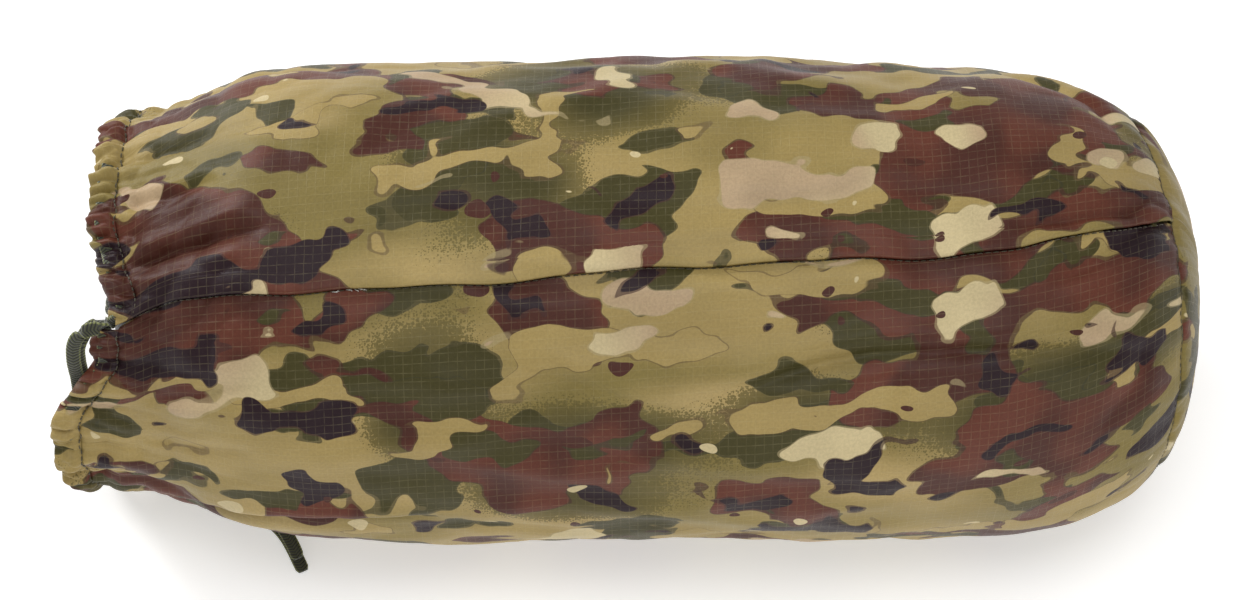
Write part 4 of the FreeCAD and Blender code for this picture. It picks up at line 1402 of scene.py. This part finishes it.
REAR_HEAD = [(-197.0, 56.4, 72.8, 0.8), (-201.0, 54.9, 74.6, 0.6), (-205.5, 54.0, 75.2, 0.5),
             (-209.6, 51.8, 74.6, 0.75)]
FRONT_HEAD = [(-200.4, 55.0, 70.8, 0.97), (-201.2, 55.9, 68.8, 0.97),
              (-203.0, 55.2, 66.4, 0.95), (-207.4, 52.6, 66.6, 0.95)]
REAR_GROUND = [
    (-219.4, -26.2, 6.2, -0.9, 0.4, 0.2), (-214.5, -26.6, 2.6, -0.5, 0.85, 0.1),
    (-207.5, -28.2, 1.15, -0.2, 1.0, 0), (-198, -32.0, 1.05, 0.1, 1, 0),
    (-188, -36.6, 1.05, 0.2, 1, 0), (-176, -41.0, 1.05, 0.2, 1, 0),
    (-164, -45.4, 1.05, 0.25, 1, 0), (-155, -48.8, 1.5, 0.4, 1, 0),
    (-150.5, -52.6, 2.6, 0.6, 0.9, 0.05), (-146.6, -57.2, 3.2, 0.75, 0.8, 0.12),
    (-143.2, -61.6, 3.6, 0.85, 0.5, 0.22), (-140.4, -66.2, 3.9, 0.88, 0.42, 0.28),
    (-137.8, -71.0, 4.0, 0.88, 0.4, 0.3), (-135.6, -76.0, 3.9, 0.88, 0.4, 0.3)]
FRONT_GROUND = [
    (-218.6, -29.5, 4.4, -0.9, 0.4, 0.2), (-213.5, -32.0, 1.8, -0.5, 0.85, 0.1),
    (-206.5, -34.0, 1.05, -0.2, 1.0, 0), (-197, -38.2, 1.05, 0.1, 1, 0),
    (-186, -43.2, 1.05, 0.2, 1, 0), (-175, -46.8, 1.05, 0.2, 1, 0),
    (-164, -50.6, 1.05, 0.25, 1, 0), (-156.5, -53.2, 1.05, 0.35, 1, 0),
    (-150.0, -57.0, 1.05, 0.6, 0.9, 0), (-145.0, -61.2, 1.05, 0.75, 0.7, 0),
    (-141.4, -65.6, 1.05, 0.88, 0.5, 0), (-138.6, -70.4, 1.05, 0.92, 0.42, 0),
    (-136.0, -75.6, 1.05, 0.92, 0.4, 0), (-133.6, -80.6, 1.1, 0.92, 0.4, 0)]

rear = strand("drawcord_strand_rear", channel_rows((68.0, 64.0, 59.6)) + REAR_HEAD,
              lateral=0.0, inward=0.0, ground=REAR_GROUND)
front = strand("drawcord_strand_front", channel_rows((46.0, 50.0, 53.0)) + FRONT_HEAD,
               lateral=-1.6, inward=1.9, ground=FRONT_GROUND)
place(front,
      stands_for=("drawcord_loop", "drawcord_floor_run", "drawcord_tail_front"))
place(rear, stands_for=("drawcord_tail_rear",))
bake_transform(front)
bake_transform(rear)

channel = channel_centre(np.linspace(HEM_START + 1.2, HEM_END - 1.2, 150))
hidden = flat_cord("drawcord_in_hem", channel, np.tile([-1.0, 0, 0], (len(channel), 1)),
                   width=5.0, thick=1.5, step=1.4, melted_tip=False)
place(hidden, "sack", ("drawcord_in_hem",))

# ------------------------------------------------------------------ rolled bivy inside
ROLL_R, ROLL_Y, ROLL_Z = 57.0, 6.0, 65.5
roll_wrinkles = waves(16, cycles=(1, 7), along=(0.02, 0.09), seed=21)
roll_creases = waves(16, cycles=(5, 16), along=(0.05, 0.2), seed=22)


def on_roll(x, phi, radius):
    """Points about the roll's axis, metres."""
    turn = np.radians(phi)
    return np.stack([x + 0 * turn, ROLL_Y - radius * np.cos(turn) + 0 * x,
                     ROLL_Z + radius * np.sin(turn) + 0 * x], -1) * MM


def coated_floor():
    tree = Tree("bivy_floor_coated")
    uv = tree.uv("print")
    grid, weave = ripstop(tree, uv, pitch=0.0052)
    patches = tree.step(tree.noise(uv, scale=40.0, detail=3.0), low=0.35, high=0.7)
    colour = tree.mix(patches, srgb(44, 46, 32), srgb(60, 60, 42))
    scuffs = tree.noise(tree.vmath("MULTIPLY", uv, (1.0, 6.0, 1.0)), scale=120.0,
                        detail=4.0, rough=0.7)
    scuffs = tree.step(scuffs, low=0.62, high=0.8)
    colour = tree.mix(tree.math("MULTIPLY", scuffs, 0.25), colour, srgb(104, 102, 82))
    colour = tree.mix(tree.math("MULTIPLY", grid, 0.35), colour, srgb(88, 88, 64))
    height = tree.plus(tree.math("MULTIPLY", grid, 0.6), weave, gain=0.3)
    return tree.surface({
        "Base Color": colour,
        "Roughness": tree.plus(0.34, tree.noise(uv, scale=300.0, detail=3.0), gain=0.25),
        "Coat Weight": 0.15,
        "Normal": tree.bump(height, strength=0.5, dist=0.0002)})


def spiral(name, phase, half_length, material):
    """One thick layer of the roll, wound from 0.75 to 4 turns; phase in degrees."""
    turns = np.linspace(0.75, 4.0, 560)[:, None]
    outer_depth, inner_depth = 5.2, 0.2
    straight = -half_length + 2 * half_length * np.linspace(0, 1, 52)
    edge = np.linspace(0, 1, 25)[1:-1]
    # the layer's edges bulge in three lobes
    lobes = 2.1 * np.abs(np.sin(np.pi * 3 * edge)) ** 0.6
    no_lobes, at_end = np.zeros(52), np.ones(len(edge))
    # one closed section: out along +X, down its edge, back along -X, up its edge
    section_x = np.concatenate([straight, half_length * at_end,
                                -straight, -half_length * at_end])[None, :]
    depth = np.concatenate([np.full(52, outer_depth), outer_depth - 5.0 * edge,
                            np.full(52, inner_depth), inner_depth + 5.0 * edge])[None, :]
    bulge = np.concatenate([no_lobes, lobes, no_lobes, -lobes])[None, :]
    end_sign = np.concatenate([no_lobes, at_end, no_lobes, -at_end])[None, :]
    angle = 360.0 * turns + phase
    inner_radius = ROLL_R - 5.4 - (4.0 - turns) * 11.7
    outside = (turns > 3.45) * (depth > 2.5)
    ragged = (0.9 * np.sin(np.radians(angle) * 3.0 + phase)
              + 0.6 * np.sin(np.radians(angle) * 7.3 + 1.0))
    x = (section_x - 2.2 * np.sign(section_x) * (np.abs(section_x) > 180) + bulge
         + end_sign * (ragged - 0.4))
    wrinkles = (0.12 * roll_wrinkles(section_x, angle)
                + outside * (-0.55 * np.abs(roll_wrinkles(section_x * 0.9, angle))
                             + 0.2 * roll_creases(section_x, angle)))
    # thinner at the outer and inner ends of the winding
    taper = 1 - np.clip((turns - 3.93) / 0.07, 0, 1) ** 2 * 0.75
    taper = taper * (1 - np.clip((0.80 - turns) / 0.05, 0, 1) ** 2 * 0.6)
    out = np.clip(2.7 + (depth - 2.7) * taper + wrinkles, 0.02, 5.62)
    points = on_roll(x, angle, inner_radius + out)
    wound = np.diff(turns[:, 0]) * 2 * np.pi * inner_radius[1:, 0]
    wound = np.cumsum(np.concatenate([[0], wound])) * MM
    return closed_sweep(name, points, section_x * MM, wound[:, None] + depth * MM * 0.5,
                        "print", material)


def roll_band(name, x_range, radii, phi_range, columns, rows, material,
              wrinkle=0.0, hem_width=0.0):
    """A soft closed band on the roll, with rounded edges and perhaps a hem."""
    (start, end), (phi_start, phi_end) = x_range, phi_range
    half = (radii[1] - radii[0]) / 2
    middle = (radii[0] + radii[1]) / 2
    edge = np.linspace(0, np.pi, 9)[1:-1]
    straight = np.linspace(start + half, end - half, columns)
    section_x = np.concatenate([straight, end - half + half * np.sin(edge), straight[::-1],
                                start + half - half * np.sin(edge)])[None, :]
    height = np.concatenate([np.full(columns, half), half * np.cos(edge),
                             np.full(columns, -half), -half * np.cos(edge)])[None, :]
    phi = np.linspace(phi_start, phi_end, rows)[:, None]
    turn = np.radians(phi)
    from_end = np.minimum(phi - phi_start, phi_end - phi)
    ends = np.clip(from_end / 1.2, 0, 1)
    ends = np.sqrt(np.clip(1 - (1 - ends) ** 2, 0, 1)) * 0.96 + 0.04
    hem = 0.0
    if hem_width:
        from_edge = np.minimum(section_x - start, end - section_x)
        outside = height > 0
        hem = 0.45 * ((from_edge < hem_width) | (from_end < hem_width)) * outside
        hem = hem - 0.5 * bell(np.minimum(from_edge, from_end) - hem_width, 0.7) * outside
    folds = wrinkle * (0.9 * np.abs(roll_wrinkles(section_x, phi))
                       + 0.5 * roll_creases(section_x, phi))
    radius = middle + height * ends + np.where(height > -half * 0.5,
                                               np.maximum(folds + hem, -half), 0.0)
    x = section_x + 0 * phi
    if wrinkle:
        # the long edges waver
        waver = 0.5 * np.sin(turn * 9.0 + 0.4) + 0.3 * np.sin(turn * 21.0)
        x = x + waver * (np.abs(section_x - (start + end) / 2) > (end - start) / 2 - 14)
    return closed_sweep(name, on_roll(x, phi, radius), section_x * MM, turn * middle * MM,
                        "print", material)


roll_floor = spiral("bivy_floor_roll", phase=0.0, half_length=188.0, material=coated_floor())
place(roll_floor, "bivy_roll", ("bivy_floor_panel",))
roll_top = spiral("bivy_top_roll", phase=180.0, half_length=184.0, material=CAMO)
place(roll_top, "bivy_roll", ("bivy_top_panel",))
hood = roll_band("bivy_hood_wrap", x_range=(-138.0, 150.0), radii=(57.25, 58.7),
                 phi_range=(20.0, 320.0), columns=150, rows=360, material=CAMO,
                 wrinkle=1.0, hem_width=9.0)
place(hood, "bivy_roll", ("bivy_hood_panel",))


# ------------------------------------------------------------------ zip
ZIP_X = -165.0


def tape_material():
    tree = Tree("zip_tape_weave")
    uv = tree.uv("print")
    x, y, _ = tree.separate(uv)
    yarn = 0.00035      # metres
    rising = tree.math("PINGPONG",
                       tree.math("ADD", tree.math("MULTIPLY", x, 1.0), y), yarn)
    falling = tree.math("PINGPONG", tree.math("SUBTRACT", x, y), yarn)
    weave = tree.math("MULTIPLY", tree.math("MAXIMUM", rising, falling), 1 / yarn)
    mottle = tree.noise(uv, scale=800.0)
    # painted highlight on the raised yarns and painted shade between them, following the weave's height
    colour = tree.mix(weave, srgb(38, 38, 24), srgb(82, 80, 50))
    colour = tree.mult(0.6, colour, tree.mix(mottle, grey(0.7), grey(1.2)))
    return tree.surface({
        "Base Color": colour, "Roughness": tree.plus(0.6, mottle, gain=0.25),
        "Sheen Weight": 0.3, "Normal": tree.bump(weave, strength=0.6, dist=0.0002)})


TAPE = tape_material()
for side, x_range in (("left", (-178.0, ZIP_X - 0.9)), ("right", (ZIP_X + 0.9, -152.0))):
    tape = roll_band(f"zip_tape_{side}_weave", x_range, radii=(58.3, 59.0),
                     phi_range=(72.0, 196.0), columns=16, rows=220, material=TAPE)
    place(tape, "bivy_roll", (f"zip_tape_{side}",))


def object_material(name, colours, rough, metal, scale, bump, wear=None):
    """Mottled hard material; colours and rough are (low, high), wear a worn colour."""
    tree = Tree(name)
    coords = tree.object_coords()
    mottle = tree.noise(coords, scale, detail=4.0, rough=0.6)
    colour = tree.mix(tree.step(mottle, low=0.3, high=0.7), *colours)
    if wear:
        worn = tree.noise(coords, scale * 0.35, detail=5.0, rough=0.75)
        worn = tree.step(worn, low=0.58, high=0.66)
        colour = tree.mix(tree.math("MULTIPLY", worn, 0.6), colour, wear)
    return tree.surface({
        "Base Color": colour, "Metallic": metal,
        "Roughness": tree.plus(rough[0], mottle, gain=rough[1] - rough[0]),
        "Normal": tree.bump(tree.noise(coords, scale * 4, detail=3.0),
                            strength=0.35, dist=bump)})


COIL = object_material("zip_coil_nylon", (srgb(46, 44, 30), srgb(70, 66, 44)),
                       rough=(0.35, 0.55), metal=0.0, scale=500.0, bump=0.0001)
METAL = object_material("zip_metal", (srgb(96, 90, 76), srgb(134, 126, 106)),
                        rough=(0.26, 0.48), metal=1.0, scale=400.0, bump=0.00005,
                        wear=srgb(176, 166, 140))
PLASTIC = object_material("lock_plastic_moulded", (srgb(24, 25, 22), srgb(38, 39, 34)),
                          rough=(0.38, 0.58), metal=0.0, scale=350.0, bump=0.00006)
STEEL = object_material("spring_steel_wire", (srgb(150, 150, 148), srgb(186, 186, 182)),
                        rough=(0.2, 0.4), metal=1.0, scale=600.0, bump=0.00003)


def zip_coils(turns=82, steps_per_turn=14):
    """Two coils side by side round the roll, half a turn out of step."""
    paths = []
    for side, phase in ((-1, 0), (1, np.pi)):
        turn = np.linspace(0, turns, turns * steps_per_turn + 1)
        phi = 75.0 + 118.0 * turn / turns
        angle = 2 * np.pi * turn + phase
        points = on_roll(ZIP_X + side * 1.95 + 1.0 * np.cos(angle), phi,
                         59.72 + 0.42 * np.sin(angle))
        around = np.radians(phi)
        normals = np.stack([np.cos(angle), -np.cos(around) * np.sin(angle),
                            np.sin(around) * np.sin(angle)], -1)
        paths.append((points, normals))
    return tubes("zip_coil_teeth", paths, radius=0.00027, sides=7, material=COIL)


place(zip_coils(), "bivy_roll", ("zip_coils",))

# CAD pieces kept as they are, with a new material
for node, material, slot in (("zip_slider", METAL, "zip_metal"),
                             ("zip_pull", METAL, "zip_metal"),
                             ("zip_stops", METAL, "zip_metal"),
                             ("hood_lock_barrel", PLASTIC, "lock_plastic"),
                             ("hood_lock_button", PLASTIC, "lock_plastic")):
    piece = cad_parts[node]
    if piece.material_slots:
        for material_slot in piece.material_slots:
            material_slot.material = material
    else:
        piece.data.materials.append(material)

# ------------------------------------------------------------------ cord lock spring and hood cord
LOCK_X, LOCK_Y, LOCK_Z = -203.0, 6.0, 66.0


def lock_spring():
    """Upright spring whose end turns lie nearly flat."""
    coils, radius, height = 3.5, 3.6, 5.55
    turn = np.linspace(0, coils, 3 * 44)
    angle = 2 * np.pi * turn
    z = np.cumsum(0.35 + np.clip(np.minimum(turn, coils - turn) / 0.75, 0, 1))
    z = LOCK_Z - 8.7 + height * (z - z[0]) / (z[-1] - z[0])
    points = np.stack([LOCK_X + radius * np.cos(angle), LOCK_Y + radius * np.sin(angle), z],
                      -1) * MM
    normals = np.stack([np.cos(angle), np.sin(angle), 0 * angle], -1)
    return tubes("lock_spring_coil", [(points, normals)], radius=0.00042, sides=10,
                 material=STEEL)


spring = lock_spring()
place(spring, "hood_lock", ("hood_lock_spring",))
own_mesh(spring)

# one hood cord: (X, distance from Y = 6 to its side, shift of both cords in Y, Z)
HOOD_CORD = [(-184.5, 2.6, 0, 66.4), (-189, 2.0, 0, 66.2), (-194, 1.6, 0, 66.0),
             (LOCK_X, 1.5, 0, LOCK_Z), (-209.2, 1.5, 0, 66.0), (-211.2, 1.5, 2.2, 65.2),
             (-210.8, 1.4, 7.0, 62.8), (-207.6, 1.6, 12.5, 59.4)]


def round_cord(name, points, radius=1.1, step=0.3):
    along, path = resample(catmull(points, 3000), step)
    forward = unit(np.gradient(path, axis=0))
    side = unit(np.cross(forward, [0, 0, 1.0]))
    up = np.cross(forward, side)
    angle = np.linspace(0, 2 * np.pi, 24, endpoint=False)
    # strands cross in both directions
    slant = along[:, None] / 0.55
    relief = 0.09 * (np.abs(np.sin(4 * angle[None, :] + slant))
                     + np.abs(np.sin(4 * angle[None, :] - slant)) - 1.2)
    cap = np.clip(np.minimum(along, along[-1] - along) / 0.7, 0, 1)[:, None]
    radii = radius * np.sqrt(1 - (1 - cap) ** 2 * 0.75) + relief * cap
    rings = path[:, None] + (side[:, None] * np.cos(angle)[None, :, None]
                             + up[:, None] * np.sin(angle)[None, :, None]) * radii[..., None]
    return cord_mesh(name, rings, path[[0, -1]], along, np.cos(angle))


for k, side in enumerate((-1, 1)):
    cord = round_cord(f"hood_cord_{k + 1}", [(x, LOCK_Y + shift + side * apart, z)
                                             for x, apart, shift, z in HOOD_CORD])
    place(cord, "bivy_roll", ("hood_drawcord",) if k == 0 else ())


# ------------------------------------------------------------------ stake loops
def webbing_material():
    tree = Tree("webbing_weave")
    uv = tree.uv("weave")
    x, y, _ = tree.separate(uv)
    rib_width, cross_width = 0.0006, 0.0004     # metres
    rib = tree.math("PINGPONG", y, rib_width)
    rib = tree.math("MULTIPLY", rib, 1 / rib_width)
    cross = tree.math("PINGPONG", tree.plus(x, rib, gain=0.0003), cross_width)
    cross = tree.math("MULTIPLY", cross, 1 / cross_width)
    height = tree.plus(tree.math("MULTIPLY", rib, 0.6), cross, gain=0.4)
    # the colour follows the weave's height: painted shade in its hollows, painted highlight on its ribs
    return tree.surface({
        "Base Color": tree.mix(height, srgb(30, 32, 20), srgb(78, 80, 48)),
        "Roughness": tree.plus(0.55, tree.noise(uv, scale=700.0), gain=0.25),
        "Sheen Weight": 0.35,
        "Normal": tree.bump(height, strength=0.8, dist=0.0003)})


WEBBING = webbing_material()
LOOP_HALF_WIDTH = 6.9
LOOP_RING = 40.0        # the loops' distance from the roll's axis
# (X, Z from the loop's middle, sideways lean)
LOOP_PATH = [(-186.0, 1.15, 0.0), (-189.0, 1.25, 0.1), (-193.0, 1.35, 0.3),
             (-196.6, 1.25, 0.5), (-198.6, 0.0, 0.6), (-196.6, -1.25, 0.5),
             (-193.0, -1.35, 0.3), (-189.0, -1.25, 0.1), (-186.0, -1.15, 0.0)]


def stake_loop(name, y, z, lean):
    path = catmull(LOOP_PATH, 90)
    forward = unit(np.gradient(path[:, :2], axis=0))
    angle = np.linspace(0, 2 * np.pi, 28, endpoint=False)
    across = signed_power(np.cos(angle), 0.4)[None, :]
    height = signed_power(np.sin(angle), 0.7)[None, :]
    out = 0.42 * height + 0.05 * np.cos(across * 11.6 * np.pi) * np.sign(height)
    points = np.stack([path[:, 0:1] - forward[:, 1:2] * out,
                       LOOP_HALF_WIDTH * across + path[:, 2:3] * lean + y,
                       path[:, 1:2] + forward[:, 0:1] * out + z], -1) * MM
    return closed_sweep(name, points, arc_lengths(path[:, :2])[:, None] * MM,
                        across * LOOP_HALF_WIDTH * MM, "weave", WEBBING)


for k, (phi, lean) in enumerate(((150.0, -1.0), (200.0, 0.7), (250.0, 0.4))):
    loop = stake_loop(f"stake_loop_{k + 1}",
                      ROLL_Y - LOOP_RING * math.cos(math.radians(phi)),
                      ROLL_Z + LOOP_RING * math.sin(math.radians(phi)), lean)
    place(loop, "bivy_roll", ("stake_loops",) if k == 0 else ())


# ------------------------------------------------------------------ floor, light, camera (metres)
def pale_floor():
    tree = Tree("pale_floor")
    mottle = tree.noise(tree.object_coords(), scale=3.0)
    return tree.surface({
        "Base Color": tree.mix(mottle, grey(0.90), grey(0.93)), "Roughness": 0.9,
        "Specular IOR Level": 0.1, "Emission Color": (1, 1, 1, 1),
        "Emission Strength": 0.38})


def studio_floor(half=8, drop=0.0004):
    material = pale_floor()
    mesh = bpy.data.meshes.new("studio_floor")
    mesh.from_pydata([(-half, -half, 0), (half, -half, 0), (half, half, 0), (-half, half, 0)],
                     [], [(0, 1, 2, 3)])
    mesh.materials.append(material)
    floor = bpy.data.objects.new("studio_floor", mesh)
    bpy.context.scene.collection.objects.link(floor)
    floor.location.z = -drop


def studio_world():
    world = bpy.data.worlds.new("studio")
    world.use_nodes = True
    background = world.node_tree.nodes.get("Background")
    background.inputs["Color"].default_value = (1, 1, 1, 1)
    background.inputs["Strength"].default_value = 0.42
    bpy.context.scene.world = world


def area(name, location, target, size, power):
    light = bpy.data.lights.new(name, "AREA")
    light.energy = power
    light.shape = "RECTANGLE"
    light.size, light.size_y = size
    lamp = bpy.data.objects.new(name, light)
    lamp.location = location
    aim = Vector(target) - Vector(location)
    lamp.rotation_euler = aim.to_track_quat("-Z", "Y").to_euler()
    bpy.context.scene.collection.objects.link(lamp)


def studio_camera(distance=1.25):
    settings = bpy.data.cameras.new("camera")
    camera = bpy.data.objects.new("camera", settings)
    bpy.context.scene.collection.objects.link(camera)
    target = Vector((-0.0013, -0.0002, 0.0866))
    camera.location = target + Vector((0.0, -VIEW_COS, VIEW_SIN)) * distance
    aim = target - camera.location
    camera.rotation_euler = aim.to_track_quat("-Z", "Y").to_euler()
    settings.sensor_width = 36.0
    settings.lens = 90.3
    settings.clip_start = 0.01
    bpy.context.scene.camera = camera


studio_floor()
studio_world()
area("key_back", (-0.95, 0.85, 0.72), target=(0, 0.0, 0.06), size=(0.45, 0.45), power=11.5)
area("top_soft", (0.1, -0.25, 1.7), target=(0, 0.0, 0.05), size=(1.0, 0.6), power=10.0)
area("front_fill", (0.6, -1.4, 0.7), target=(0, 0, 0.06), size=(0.8, 0.5), power=4.0)
studio_camera()
bpy.context.scene.view_settings.view_transform = "Standard"
